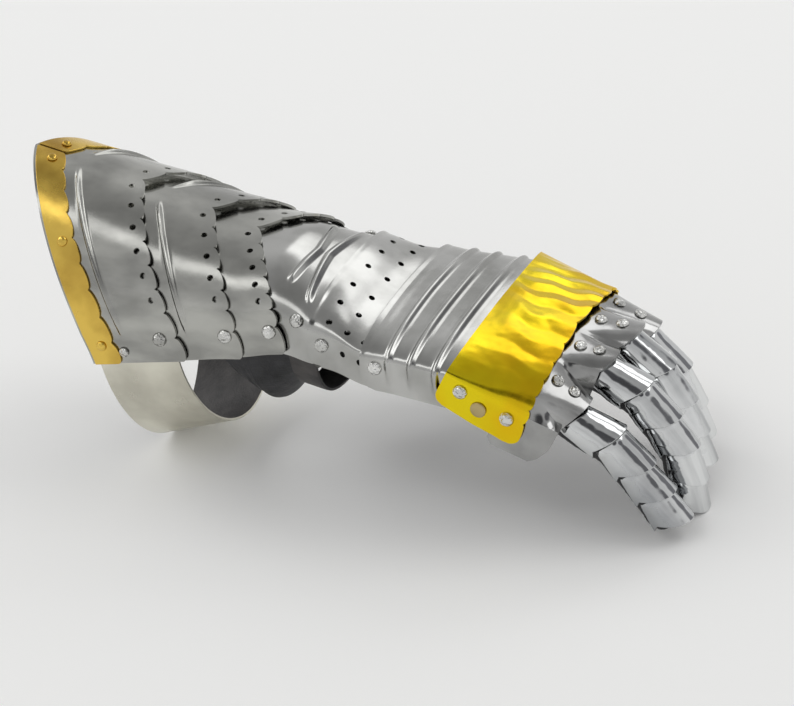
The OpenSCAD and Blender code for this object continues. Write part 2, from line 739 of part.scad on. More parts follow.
// Finger base plate: an arch that parts into four lobes over the finger roots.
// Each finger: [place across the hand, hinge x, hinge z, slopes of its four lames], in the working frame
finger_names = ["little", "ring", "middle", "index"];
fingers = [
  [-1.5 * finger_pitch, p7[0] + 25.7, p7[1] - 6.8, [-25, -46, -49, -52]],
  [-0.5 * finger_pitch, p7[0] + 29.2, p7[1] + 5.8, [-26, -48, -55, -75, -84]],
  [0.5 * finger_pitch, p7[0] + 32, p7[1] + 7, [-40, -58, -66, -72]],
  [1.5 * finger_pitch, p7[0] + 32, p7[1] - 6, [-47, -66, -72]]];
finger_lens = [finger_len_1, finger_len_2, finger_len_3, finger_len_4, finger_len_5];
lobe_r = finger_r + steel_t;
base_drop = side_drop + 6;

// Working frame to the base plate's own frame
function to_base(x, z) = let (dx = x - p7[0], dz = z - p7[1])
  [dx * cos(base_slope) + dz * sin(base_slope), -dx * sin(base_slope) + dz * cos(base_slope)];
lobe_centres = [for (f = fingers) to_base(f[1], f[2])];
lobe_angles = [[-78, -58, -38, -18, 18, 36, 52], [-56, -44, -31, -18, 18, 38, 56],
  [-56, -38, -18, 18, 31, 44, 56], [-52, -36, -18, 18, 38, 58, 78]];
lobe_tops = [3, 3, 2, 2];
base_front_sides = [[17, -base_drop], [22, -8], [24, arch_base]];

// A lobe reaches past its hinge at the crown and sweeps back down its sides
lobe_reach = 3.5;
lobe_sweep = 6.5;
lobe_turn = 1.15;
// How much further forward the thumb side of the base plate ends
thumb_side_more = 6;

// The front outline of the base plate, from the near side to the far side: [x, y, z]
function lobe_point(k, a, r) = [
  lobe_centres[k][0] + lobe_reach - lobe_sweep * (1 - cos(a * lobe_turn)),
  fingers[k][0] + r * sin(a),
  lobe_centres[k][1] + r * cos(a)];
function base_front(thick) = concat(
  [for (s = base_front_sides) [s[0], -base_rear_w + thick, s[1]]],
  [for (k = [0:3]) for (a = lobe_angles[k]) lobe_point(k, a, lobe_r - thick)],
  [for (i = [2:-1:0])
    [base_front_sides[i][0] + thumb_side_more, base_rear_w - thick, base_front_sides[i][1]]]);
base_columns = 33;
base_side_u = [-1, -0.93, -arch_share];

// The base plate's columns run straight back from its front outline over the arch
function base_section(i, x, thick) =
  let (
    w = base_rear_w - thick,
    h = base_rear_low[1] + base_rise * (x - base_rear_low[0]) - thick,
    k = min(i, base_columns - i, 2),
    s = section(base_side_u[k], w, h, base_drop),
    y = base_front(thick)[i][1],
    rise = pow(1 - pow(min(1, abs(y) / w), roundness), 1 / roundness))
  i < 3 ? [x, s[0], s[1]]
  : i > base_columns - 3 ? [x, -s[0], s[1]]
  : [x, y, arch_base + (h - arch_base) * rise];
function base_point(i, v, thick) =
  let (
    f = base_front(thick)[i],
    start = base_section(i, 7, thick),
    blend = (v - 2) / 3,
    ease = pow(blend, 1.3))
  v < 2 ? base_section(i, v == 0 ? -6.5 : 0, thick)
  : [start[0] + (f[0] - start[0]) * blend,
      start[1] + (f[1] - start[1]) * ease,
      start[2] + (f[2] - start[2]) * ease];
module base_shell() {
  outer = [for (v = [0:5]) for (i = [0:base_columns]) base_point(i, v, 0)];
  inner = [for (v = [0:5]) for (i = [0:base_columns]) base_point(i, v, steel_t)];
  closed_sheet(outer, inner, 6, base_columns + 1);
}
lobe_rivets = [[4, 0.1], [3, 0.25]];

// A lobe rivet stands square on its lobe: row is the lobe row in front of it, share the way back from there
module lobe_rivet_place(k, row, share) {
  mid = 3 + 7 * k + lobe_tops[k];
  a = base_point(mid, row, 0);
  b = base_point(mid, row - 1, 0);
  along_lobe = a - b;
  across = base_point(mid + 1, row, 0) - a;
  n = cross(along_lobe, across) / norm(cross(along_lobe, across));
  translate(a - along_lobe * share + across / 2)
    rotate([0, acos(n[2]), atan2(n[1], n[0])])
      children();
}
module finger_base_plate() {
  color(steel)
    at(p7, base_slope)
      difference() {
        base_shell();
        pivot_bores(0, base_rear_w, pivot_play);
        for (k = [0:3])
          for (r = lobe_rivets)
            lobe_rivet_place(k, r[0], r[1])
              translate([0, 0, -3])
                cylinder(d = lobe_shank_d + 2 * fit, h = 6, $fn = hole_fn);
      }
}
module finger_base_rivets() {
  color(steel)
    at(p7, base_slope)
      for (k = [0:3])
        for (r = lobe_rivets)
          lobe_rivet_place(k, r[0], r[1])
            translate([0, 0, 0.15])
              rivet(lobe_head_d, lobe_head_h, lobe_shank_d, steel_t + 0.25, 0.25);
}

// Finger lames: each is half a flared tube whose rear is a ball about its hinge
function chain(f, i) = i == 0 ? [f[1], f[2]] : along(chain(f, i - 1), finger_lens[i - 1], f[3][i - 1]);
function front_r(i) = finger_r - finger_taper * i;
function rear_r(i) = (i == 0 ? lobe_r - 1.6 : front_r(i - 1)) - steel_t - finger_gap;
rear_cover = 25;
// Swell of a lame halfway along, how far its rounded corners run back, the slope of its end,
// how far it wraps round, and how far it reaches past the next hinge
tube_swell = 0.15;
tip_round = 9;
tip_slant = 32;
lame_wrap = 108;
overhang = 0.6;
module half_tube(r_back, r_front, length, cover, wrap) {
  rotate([0, 90, 0])
    rotate([0, 0, 180 - wrap])
      rotate_extrude(angle = 2 * wrap, $fn = shank_fn)
        polygon(concat(
          [for (a = [cover:-cover / 3:0]) [r_back * cos(a), -r_back * sin(a)]],
          [[(r_back + r_front) / 2 + tube_swell, length / 2], [r_front, length]],
          [[r_front - steel_t, length], [(r_back + r_front) / 2 + tube_swell - steel_t, length / 2]],
          [for (a = [0:cover / 3:cover]) [(r_back - steel_t) * cos(a), -(r_back - steel_t) * sin(a)]]));
}
module finger_lame(f, i) {
  length = finger_lens[i] + overhang;
  r = front_r(i);
  p = chain(f, i);
  color(steel)
    stand()
      translate([p[0], f[0], p[1]])
        rotate([0, -f[3][i], 0])
          difference() {
            half_tube(rear_r(i), r, length, rear_cover, lame_wrap);
            slant_cut(length, r, tip_slant);
            translate([length - tip_round, 0, -r])
              linear_extrude(3 * r)
                difference() {
                  translate([0, -2 * r])
                    square([4 * r, 4 * r]);
                  scale([tip_round / r, 1])
                    circle(r = r + 0.2, $fn = 24);
                  translate([-r, -2 * r])
                    square([r + eps, 4 * r]);
                }
          }
}
module little_lame_1() { finger_lame(fingers[0], 0); }
module little_lame_2() { finger_lame(fingers[0], 1); }
module little_lame_3() { finger_lame(fingers[0], 2); }
module little_tip() { finger_lame(fingers[0], 3); }
module ring_lame_1() { finger_lame(fingers[1], 0); }
module ring_lame_2() { finger_lame(fingers[1], 1); }
module ring_lame_3() { finger_lame(fingers[1], 2); }
module ring_lame_4() { finger_lame(fingers[1], 3); }
module ring_tip() { finger_lame(fingers[1], 4); }
module middle_lame_1() { finger_lame(fingers[2], 0); }
module middle_lame_2() { finger_lame(fingers[2], 1); }
module middle_lame_3() { finger_lame(fingers[2], 2); }
module middle_tip() { finger_lame(fingers[2], 3); }
module index_lame_1() { finger_lame(fingers[3], 0); }
module index_lame_2() { finger_lame(fingers[3], 1); }
module index_tip() { finger_lame(fingers[3], 2); }

// A closed tube swept along stations: [centre, forward slope in degrees, half width, top, bottom]
function ring_points(s, n, thick) = [for (j = [0:n - 1])
  let (
    a = 360 * j / n,
    mid = (s[3] - s[4]) / 2,
    half = (s[3] + s[4]) / 2 - thick,
    y = (s[2] - thick) * cos(a),
    z = mid + half * sin(a))
  [s[0][0] - z * sin(s[1]), s[0][1] + y, s[0][2] + z * cos(s[1])]];

// A leather tube with an open root and a closed end
module leather_tube(stations, n) {
  m = len(stations);
  outer = [for (s = stations) each ring_points(s, n, 0)];
  inner = [for (k = [0:m - 1]) each
    ring_points(k == m - 1 ? inset_end(stations[k]) : stations[k], n, leather_t)];
  last = m - 1;
  polyhedron(
    points = concat(outer, inner),
    faces = concat(
      [for (k = [0:m - 2]) for (j = [0:n - 1]) let (b = (j + 1) % n) each [
        [k * n + j, (k + 1) * n + b, k * n + b],
        [k * n + j, (k + 1) * n + j, (k + 1) * n + b],
        [m * n + k * n + j, m * n + k * n + b, m * n + (k + 1) * n + b],
        [m * n + k * n + j, m * n + (k + 1) * n + b, m * n + (k + 1) * n + j]]],
      [for (j = [0:n - 1]) let (b = (j + 1) % n) each [[j, m * n + b, m * n + j], [j, b, m * n + b]]],
      [[for (j = [n - 1:-1:0]) last * n + j]],
      [[for (j = [0:n - 1]) m * n + last * n + j]]),
    convexity = 6);
}
function inset_end(s) = [[s[0][0] - leather_t * cos(s[1]), s[0][1], s[0][2] - leather_t * sin(s[1])],
  s[1], s[2], s[3], s[4]];

// A leather tube open at both ends
module leather_sleeve(stations, n) {
  nc = n + 1;
  m = len(stations);
  outer = [for (s = stations) each ring_points(s, n, 0)];
  inner = [for (s = stations) each ring_points(s, n, leather_t)];
  polyhedron(
    points = concat(outer, inner),
    faces = concat(
      [for (k = [0:m - 2]) for (j = [0:n - 1]) let (b = (j + 1) % n) each [
        [k * n + j, (k + 1) * n + b, k * n + b],
        [k * n + j, (k + 1) * n + j, (k + 1) * n + b],
        [m * n + k * n + j, m * n + k * n + b, m * n + (k + 1) * n + b],
        [m * n + k * n + j, m * n + (k + 1) * n + b, m * n + (k + 1) * n + j]]],
      [for (j = [0:n - 1]) let (b = (j + 1) % n) each [
        [j, m * n + b, m * n + j],
        [j, b, m * n + b],
        [(m - 1) * n + j, m * n + (m - 1) * n + j, m * n + (m - 1) * n + b],
        [(m - 1) * n + j, m * n + (m - 1) * n + b, (m - 1) * n + b]]]),
    convexity = 6);
}

// Glove fingers and the strap on each that carries its lames
stall_w = 7.3;
stall_top = 5.8;
stall_bottom = 10;
strap_t = 0.8;
strap_w = 3.7;
function last_of(f) = len(f[3]) - 1;
function bend(f, i) = i == 0 ? f[3][0] : (f[3][i - 1] + f[3][i]) / 2;
function mid_chain(f, i, share) = along(chain(f, i), finger_lens[i] * share, f[3][i]);
// A stall starts at the front rim of the glove's hand, which is half an ellipse above its middle
rim_w = knuckle_half_w - 13;
rim_top = 11;
function rim_rise(f) = (rim_top + 0.5) * sqrt(1 - pow(f[0] / rim_w, 2));
function root_of(f) = [p7[0] + 7.9 + 0.25 * rim_rise(f), p7[1] + 1.5 + rim_rise(f) - stall_top];
function finger_stations(f, w, top, bottom, end_share) = concat(
  [[[root_of(f)[0], f[0], root_of(f)[1]], base_slope - 3, w, top, bottom]],
  [for (i = [0:last_of(f)]) each [
    [[chain(f, i)[0], f[0], chain(f, i)[1]], bend(f, i), w - 0.2 * i, top, bottom - 0.4 * i],
    [[mid_chain(f, i, 0.5)[0], f[0], mid_chain(f, i, 0.5)[1]],
      f[3][i], w - 0.2 * i, top, bottom - 0.4 * i]]],
  [[[mid_chain(f, last_of(f), end_share)[0], f[0], mid_chain(f, last_of(f), end_share)[1]], f[3][last_of(f)],
    w * 0.75, top * 0.75, bottom * 0.55]]);
module glove_finger(f) {
  color(leather)
    stand()
      leather_tube(finger_stations(f, stall_w, stall_top, stall_bottom, 0.93), 12);
}
module glove_little() { glove_finger(fingers[0]); }
module glove_ring() { glove_finger(fingers[1]); }
module glove_middle() { glove_finger(fingers[2]); }
module glove_index() { glove_finger(fingers[3]); }

function strap_ring(s) = [for (c = [[-1, 0], [1, 0], [1, 1], [-1, 1]])
  let (z = stall_top + 0.15 + c[1] * strap_t)
  [s[0][0] - z * sin(s[1]), s[0][1] + c[0] * strap_w, s[0][2] + z * cos(s[1])]];
module finger_strap(f) {
  all = finger_stations(f, stall_w, stall_top, stall_bottom, 0.9);
  st = [for (k = [1:len(all) - 2]) all[k]];
  m = len(st);
  color(leather)
    stand()
      polyhedron(
        points = [for (s = st) each strap_ring(s)],
        faces = concat(
          [for (k = [0:m - 2]) for (j = [0:3]) let (b = (j + 1) % 4) each [
            [k * 4 + j, (k + 1) * 4 + b, k * 4 + b],
            [k * 4 + j, (k + 1) * 4 + j, (k + 1) * 4 + b]]],
          [[0, 1, 2, 3]],
          [[for (j = [3:-1:0]) (m - 1) * 4 + j]]),
        convexity = 6);
}
module little_strap() { finger_strap(fingers[0]); }
module ring_strap() { finger_strap(fingers[1]); }
module middle_strap() { finger_strap(fingers[2]); }
module index_strap() { finger_strap(fingers[3]); }

// The body of the glove, and its sleeve inside the cuff, which keeps clear of the rivets' burrs
sleeve_room = 3;
hand_rear_w = wrist_half_w - 10;
sleeve_rear_w = upper_half_w - pivot_grip - burr - sleeve_room;
sleeve_front_w = lower_half_w - lower_grip - burr - sleeve_room;
module glove_hand() {
  color(leather)
    stand()
      leather_sleeve([
        [[p4[0] - 6, 0, p4[1]], wrist_slope, hand_rear_w, 8.6, 26],
        [[p4[0] + 12, 0, p4[1] - 1], perforated_slope, hand_rear_w + 2, 7.6, 27],
        [[p5[0], 0, p5[1]], perforated_slope, hand_rear_w + 3, 7, 28],
        [[p5[0] + 24, 0, p5[1]], ribbed_slope, palm_half_w - 9.6, 7.8, 28],
        [[p6[0], 0, p6[1]], -6, rim_w + 1, 8, 26],
        [[p7[0] - 4, 0, p7[1] + 2], base_slope, rim_w + 2, rim_top + 0.5, 20],
        [[p7[0] + 9, 0, p7[1] + 2], base_slope, rim_w, rim_top, 12]], 24);
}
module glove_sleeve() {
  color(leather)
    stand()
      leather_sleeve([
        [[p2[0] - 6, 0, p2[1]], 10, sleeve_rear_w, 24, 56],
        [[p2[0] + 8, 0, p2[1]], 10, sleeve_rear_w - 1, 21, 50],
        [[p3[0], 0, p3[1]], 8, sleeve_front_w, 16.5, 42],
        [[p4[0] - 7, 0, p4[1]], wrist_slope, hand_rear_w - leather_t, 10.4, 27]], 24);
}

// Thumb: a keeled plate and two lames, set on the far side and pointing forward and down
thumb_root = [p4[0] + 13, wrist_half_w + 4.2, p4[1] - 25.8];
thumb_yaw = 20;
thumb_slope = -34;
thumb_roll = -62;
thumb_curl = [0, -12, -24];
function thumb_hinge(i) = i == 0 ? 0 : i == 1 ? thumb_plate_len : thumb_plate_len + thumb_lame_len;
module thumb_frame() {
  stand()
    translate(thumb_root)
      rotate([0, 0, thumb_yaw])
        rotate([0, -thumb_slope, 0])
          rotate([thumb_roll, 0, 0])
            children();
}
thumb_j1 = [thumb_plate_len, 0];
thumb_j2 = along(thumb_j1, thumb_lame_len, thumb_curl[1]);
thumb_rear_r = thumb_r - steel_t - finger_gap;
module slant_cut(length, r, slant) {
  translate([length, -2 * r, r])
    rotate([0, slant, 0])
      translate([0, 0, -4 * r])
        cube([4 * r, 4 * r, 6 * r]);
}
module thumb_plate() {
  color(steel)
    thumb_frame()
      difference() {
        half_tube(thumb_r - 0.5, thumb_r, thumb_plate_len + overhang, 20, 80);
        slant_cut(thumb_plate_len + overhang, thumb_r, 28);
        translate([thumb_plate_len * 0.45, 0, thumb_r - 4])
          cylinder(d = lobe_shank_d + 2 * fit, h = 8, $fn = hole_fn);
      }
}
module thumb_rivet() {
  color(steel)
    thumb_frame()
      translate([thumb_plate_len * 0.45, 0, thumb_r + 0.25])
        rivet(lobe_head_d, lobe_head_h, lobe_shank_d, steel_t + 0.7);
}
module thumb_lame(p, slope, r_back, r_front, length) {
  color(steel)
    thumb_frame()
      translate([p[0], 0, p[1]])
        rotate([0, -slope, 0])
          difference() {
            half_tube(r_back, r_front, length, rear_cover, 84);
            slant_cut(length, r_front, 30);
          }
}
module thumb_lame_1() {
  thumb_lame(thumb_j1, thumb_curl[1], thumb_rear_r, thumb_r - 0.3, thumb_lame_len + overhang);
}
module thumb_tip() {
  thumb_lame(thumb_j2, thumb_curl[2], thumb_rear_r - 0.3, thumb_r - 0.9, thumb_lame_len + 2);
}
module glove_thumb() {
  r = thumb_rear_r - steel_t - 1.1;
  tip = along(thumb_j2, thumb_lame_len - 1, thumb_curl[2]);
  color(leather)
    thumb_frame()
      leather_tube([
        [[-8.4, -1.5, -10.2], 40, r - 0.6, r - 0.6, r - 0.6],
        [[5, 0, -1.2], 15, r, r - 0.4, r],
        [[thumb_plate_len * 0.5, 0, 0], 0, r, r, r],
        [[thumb_j1[0], 0, thumb_j1[1]], thumb_curl[1] / 2, r, r - 1.2, r],
        [[thumb_j2[0], 0, thumb_j2[1]], (thumb_curl[1] + thumb_curl[2]) / 2, r, r - 1.5, r],
        [[tip[0], 0, tip[1]], thumb_curl[2], r * 0.7, r * 0.7, r * 0.7]], 12);
}

// Rest: the under plate's rear edge and the little fingertip touch the ground
under_low = let (x = -cuff_side + 2.5, z = -under_depth + under_rise * 2.5 / (under_front + cuff_side))
  [x * cos(cuff_slope) - z * sin(cuff_slope), x * sin(cuff_slope) + z * cos(cuff_slope)];
// How far the ring fingertip's rim reaches below the end of its middle line
tip_reach = 0.8;
tip_low = chain(fingers[1], 5) - [0, tip_reach];
rest_tilt = atan2(tip_low[1] - under_low[1], tip_low[0] - under_low[0]);
rest_z = under_low[0] * sin(rest_tilt) - under_low[1] * cos(rest_tilt);
// Where the middle of the part lies from the first pivot, along and across the hand
middle_x = 86.1;
middle_y = 7.01;

cuff_plate();
cuff_trim_near();
cuff_trim_far();
trim_rivets();
under_plate();
under_plate_rivets();
cuff_pivots();
upper_lame();
upper_pivots();
lower_lame();
lower_pivots();
wrist_lame();
wrist_strap_rivets();
wrist_strap();
perforated_lame();
wrist_pivots();
ribbed_lame();
ribbed_pivots();
knuckle_band();
band_rear_pivots();
band_front_pivots();
copper_rivets();
finger_base_plate();
finger_base_rivets();
little_lame_1();
little_lame_2();
little_lame_3();
little_tip();
ring_lame_1();
ring_lame_2();
ring_lame_3();
ring_lame_4();
ring_tip();
middle_lame_1();
middle_lame_2();
middle_lame_3();
middle_tip();
index_lame_1();
index_lame_2();
index_tip();
little_strap();
ring_strap();
middle_strap();
index_strap();
glove_sleeve();
glove_hand();
glove_little();
glove_ring();
glove_middle();
glove_index();
glove_thumb();
thumb_plate();
thumb_rivet();
thumb_lame_1();
thumb_tip();
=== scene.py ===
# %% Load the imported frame
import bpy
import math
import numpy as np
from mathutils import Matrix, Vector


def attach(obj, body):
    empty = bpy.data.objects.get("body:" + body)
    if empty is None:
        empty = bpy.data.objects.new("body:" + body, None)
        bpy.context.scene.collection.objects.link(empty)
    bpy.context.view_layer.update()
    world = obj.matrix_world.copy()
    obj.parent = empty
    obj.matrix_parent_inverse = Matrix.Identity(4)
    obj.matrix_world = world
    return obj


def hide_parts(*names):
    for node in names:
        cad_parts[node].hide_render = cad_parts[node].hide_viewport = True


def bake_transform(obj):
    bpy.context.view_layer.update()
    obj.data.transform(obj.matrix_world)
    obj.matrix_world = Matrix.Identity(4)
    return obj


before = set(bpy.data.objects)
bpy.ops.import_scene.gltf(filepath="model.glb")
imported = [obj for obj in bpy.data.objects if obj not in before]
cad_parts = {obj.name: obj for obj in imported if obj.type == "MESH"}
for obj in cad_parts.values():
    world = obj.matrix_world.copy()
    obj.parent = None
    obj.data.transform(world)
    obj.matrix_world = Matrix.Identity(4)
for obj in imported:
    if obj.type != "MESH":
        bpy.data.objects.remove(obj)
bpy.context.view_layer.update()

# %% [markdown]
# ## Tools and sheet sizes
# This gauntlet is a chain of thin plates that slide under each other and turn on side rivets. Its pieces
# could be placed by eye, but the CAD model already says where each one is. So the script repeats the model's
# named sizes, in millimetres, and builds every mesh from them. These few are shared by many plates.

MM = 0.001

STEEL_T = 1.2
BRASS_T = 1.0
ARCH_BASE = 4.0     # height at which a plate's arch goes over into its straight side
ARCH_SHARE = 0.84   # share of the way from crown to edge that is arch
ROUNDNESS = 2.25    # 2 gives an ellipse, and more gives a squarer arch
SIDE_DROP = 12.0    # reach of the straight side below the pivot
FLUTE_H = 1.7
print("steel", STEEL_T, "mm, brass", BRASS_T, "mm")

# %% [markdown]
# ## The chain of plates
# On the real gauntlet each plate hangs on two rivets of the plate behind it, so its place follows from the
# plates before it. Seven fixed positions would be quicker to type, but a chain of steps and slopes keeps them
# joined when one changes.

# %% The chain of plates
SLOPE = {"cuff": 15.2, "upper": 13.4, "lower": 15.7, "wrist": 3.9, "perforated": -1.5,
         "ribbed": 2.3, "band": -23.0, "base": -14.0}
STEP = {"upper": 32.8, "lower": 21.8, "wrist": 28.3, "perforated": 29.5, "ribbed": 44.0, "band": 24.0}


def turned(length, slope):
    a = math.radians(slope)
    return np.array([length * math.cos(a), 0.0, length * math.sin(a)])


CHAIN = ["upper", "lower", "wrist", "perforated", "ribbed", "band", "base"]
P = {"cuff": np.zeros(3), "upper": np.zeros(3)}
for behind, plate in zip(CHAIN, CHAIN[1:]):
    P[plate] = P[behind] + turned(STEP[behind], SLOPE[behind])
print("from cuff pivot to finger base", round(float(np.linalg.norm(P["base"])), 1), "mm")

# %% [markdown]
# ## Finger hinges and the rest position
# The fingers hang from the last plate, and the gauntlet lies on its under plate and one fingertip. It could
# be turned by hand until it looks right, but the tilt follows exactly from those two lowest points. One
# matrix, STAND, then carries the working frame in millimetres to the shared frame in metres.

# %% Finger hinges and the rest position
FINGER_LENGTHS = [20, 16.5, 15, 14, 13]
BX, BZ = P["base"][0], P["base"][2]
# y, x and z of the first hinge, then the slope of each lame
FINGERS = {
    "little": (-36.75, BX + 25.7, BZ - 6.8, [-25, -46, -49, -52]),
    "ring": (-12.25, BX + 29.2, BZ + 5.8, [-26, -48, -55, -75, -84]),
    "middle": (12.25, BX + 32.0, BZ + 7.0, [-40, -58, -66, -72]),
    "index": (36.75, BX + 32.0, BZ - 6.0, [-47, -66, -72]),
}


def finger_joint(finger, i):
    y, x, z, slopes = FINGERS[finger]
    p = np.array([x, y, z])
    for k in range(i):
        p = p + turned(FINGER_LENGTHS[k], slopes[k])
    return p


UNDER_DEPTH, UNDER_RISE = 74.0, 8.0
CUFF_SIDE, UNDER_INSET, UNDER_FRONT = 39.6, 2.5, 6
CENTRE_X, CENTRE_Y = 86.1, 7.01
FINGERTIP_BELOW = 0.8

low_x = -CUFF_SIDE + UNDER_INSET
low_z = -UNDER_DEPTH + UNDER_RISE * UNDER_INSET / (UNDER_FRONT + CUFF_SIDE)
a = math.radians(SLOPE["cuff"])
under_low = np.array([low_x * math.cos(a) - low_z * math.sin(a), low_x * math.sin(a) + low_z * math.cos(a)])
tip = finger_joint("ring", 5) - np.array([0, 0, FINGERTIP_BELOW])
TILT = math.atan2(tip[2] - under_low[1], tip[0] - under_low[0])
REST_Z = under_low[0] * math.sin(TILT) - under_low[1] * math.cos(TILT)
STAND = (Matrix.Translation((-CENTRE_X * MM, -CENTRE_Y * MM, REST_Z * MM)) @ Matrix.Rotation(TILT, 4, "Y")
         @ Matrix.Scale(MM, 4))


def place(plate):
    return STAND @ Matrix.Translation(P[plate]) @ Matrix.Rotation(-math.radians(SLOPE[plate]), 4, "Y")


print("tilt", round(math.degrees(TILT), 3), "rest height", round(REST_Z, 2))

# %% [markdown]
# ## Widths and heights of the plates
# A smith fits each plate over the next, with just enough room to turn. The heights could be read off one by
# one, but then a change in one plate would push it through its neighbour. So each table of widths W and crown
# heights H, along a plate, takes its ends from the plate that lies over it, less the sheet and a running gap.

# %% Widths and heights of the plates
REACH = 7.5         # each plate keeps its width this far from a pivot
CUFF_GAP, HAND_GAP, SIDE_GAP = 2.3, 1.4, 0.3
CUFF_CLEAR, HAND_CLEAR, BAND_CLEAR = STEEL_T + CUFF_GAP, STEEL_T + HAND_GAP, BRASS_T + HAND_GAP
KNUCKLE_W = 58.0
BAND_FRONT_W = KNUCKLE_W - 1.2
BASE_W = BAND_FRONT_W - BRASS_T - SIDE_GAP - 0.4
REAR_W = {"upper": 48.0, "lower": 44.3, "wrist": 40.0, "perforated": 46.0, "ribbed": 52.6}
FRONT_W = {"cuff": 49.5, "upper": 45.8, "lower": 42.4, "wrist": 44.5, "perforated": 51.1,
           "ribbed": KNUCKLE_W - BRASS_T - SIDE_GAP - 1.4}
CUFF_H = 52.4

W = {plate: [[-60, w], [REACH, w], [STEP[plate] - REACH, FRONT_W[plate]], [100, FRONT_W[plate]]]
     for plate, w in REAR_W.items()}
W["cuff"] = [[-100, 50.5], [-CUFF_SIDE, 50.1], [-9, FRONT_W["cuff"]], [60, FRONT_W["cuff"]]]
W["band"] = [[-60, KNUCKLE_W], [15.2, KNUCKLE_W], [19.2, BAND_FRONT_W], [100, BAND_FRONT_W]]
H = {"cuff": [[-100, CUFF_H + 39], [0, CUFF_H], [60, CUFF_H - 23.4]],
     "band": [[-60, 14 - 60 * 0.34], [0, 14], [24, 22.5], [100, 22.5 + 0.3 * 76]]}


# Where a plate's crown has to lie at x to pass clear below the plate over it
def under(over, plate, x, clear, start=0.0, shift=0.0):
    z = np.interp(start + x, *zip(*H[over])) - clear
    t = math.radians(SLOPE[over] - SLOPE[plate])
    return [shift + (x * math.cos(t) - z * math.sin(t)), x * math.sin(t) + z * math.cos(t)]


def under_behind(over, plate, x, clear):
    return under(over, plate, x, clear, start=STEP.get(over, 0))


def under_ahead(over, plate, x, clear):
    return under(over, plate, x, clear, shift=STEP[plate])


H["upper"] = [under_behind("cuff", "upper", -60, CUFF_CLEAR + 2.4),
              under_behind("cuff", "upper", 8, CUFF_CLEAR), [24.8, 40.6], [100, 38 - 0.33 * 67.2]]
H["lower"] = [under_behind("upper", "lower", -40, CUFF_CLEAR + 2),
              under_behind("upper", "lower", 4, CUFF_CLEAR), [17.8, 30.8], [100, 30 - 0.21 * 78.2]]
H["ribbed"] = [[-60, 13], [10, 13], under_ahead("band", "ribbed", -14, BAND_CLEAR),
               under_ahead("band", "ribbed", 2, BAND_CLEAR + 0.4)]
H["perforated"] = [[-60, 17.2 + 9.6], [0, 17.2], under_ahead("ribbed", "perforated", -13.5, HAND_CLEAR + 0.2),
                   under_ahead("ribbed", "perforated", 9, HAND_CLEAR + 0.3)]
H["wrist"] = [under_behind("lower", "wrist", -36, CUFF_CLEAR + 1.5),
              under_behind("lower", "wrist", 2, CUFF_CLEAR),
              under_ahead("perforated", "wrist", -9, HAND_CLEAR),
              under_ahead("perforated", "wrist", 9, HAND_CLEAR + 0.3)]
BASE_LOW = under_behind("band", "base", -8, BAND_CLEAR)
BASE_HIGH = under_behind("band", "base", 9, BAND_CLEAR)
BASE_RISE = (BASE_HIGH[1] - BASE_LOW[1]) / (BASE_HIGH[0] - BASE_LOW[0])
print("knuckles", 2 * KNUCKLE_W, "mm wide, wrist", 2 * REAR_W["wrist"], "mm wide")

# %% [markdown]
# ## Sections and rows of a plate
# A real lame is cut flat from sheet and bent into an arch with straight sides. A bent cylinder would be
# simple, but the arch of these plates changes all the way from cuff to knuckles. So a plate is made of rows
# that run round the arch. Each row says where it lies at the side and at the crown, how far it is hammered
# up, how deep its scallops are, and how far from the crown the hammering goes.

# %% Sections and rows of a plate
BLEND_REACH = 5.0
LIFT_FADE = 0.14


def row(side, crown, lift=0.0, scallop=0.0, lift_reach=1.0):
    return [side, crown, lift, scallop, lift_reach]


def flute(side, crown, half, lift_reach):
    return [row(side - half, crown - half), row(side, crown, FLUTE_H, 0, lift_reach),
            row(side + half, crown + half)]


# Reads a table of places and sizes, with its corners smoothed over the reach
def table(x, pairs, reach=BLEND_REACH):
    xs, ys = zip(*pairs)
    return np.mean([np.interp(x + o * reach, xs, ys) for o in np.linspace(-1, 1, 9)], axis=0)


# u runs round the arch, from -1 at the near edge over 0 at the crown to 1 at the far edge
def section(u, w, h, drop=SIDE_DROP):
    angle = np.minimum(np.abs(u) / ARCH_SHARE, 1) * math.pi / 2
    side = np.maximum(np.abs(u) - ARCH_SHARE, 0) / (1 - ARCH_SHARE)
    y = np.sign(u) * w * np.sin(angle) ** (2 / ROUNDNESS)
    arch = (h - ARCH_BASE) * np.maximum(np.cos(angle), 0) ** (2 / ROUNDNESS)
    return y, ARCH_BASE + arch - side * (ARCH_BASE + drop)


def row_x(line, u, shape):
    scallops, sweep = shape
    f = np.abs(u) * scallops
    f = f - np.floor(f + 1e-9)
    bulge = np.sqrt(np.maximum(0, 1 - (2 * f - 1) ** 2))
    return line[0] + (line[1] - line[0]) * np.power(1 - np.abs(u), sweep) + line[3] * bulge


def row_lift(line, u):
    ends = np.clip((line[4] - np.abs(u)) / LIFT_FADE, 0, 1)
    return line[2] * ends * ends * (3 - 2 * ends)


def corner(u, radius):
    if not radius:
        return 0 * u
    far = (1 - np.abs(u)) / (1 - ARCH_SHARE) * (ARCH_BASE + SIDE_DROP)
    inside = np.clip(radius - far, 0, radius)
    return radius - np.sqrt(radius ** 2 - inside ** 2)


print("the crown at the wrist is", round(float(table(0, H["wrist"])), 1), "mm over its pivots")

# %% [markdown]
# ## Plate grids
# Between two rows the sheet bends smoothly, so lines are laid in between, closer where a flute is narrow. A
# subdivision surface would round the scallops and the flutes as well, but here only the lifts are eased from
# row to row.

# %% Plate grids
CREST_FROM, CREST_FADE = 0.05, 0.12     # a parted flute fades out towards the crown


def plate_point(u, x, lift, plate):
    y, z = section(u, table(x, W[plate]) + lift, table(x, H[plate]) + lift)
    return np.stack([x + 0 * y, y, z], axis=-1)


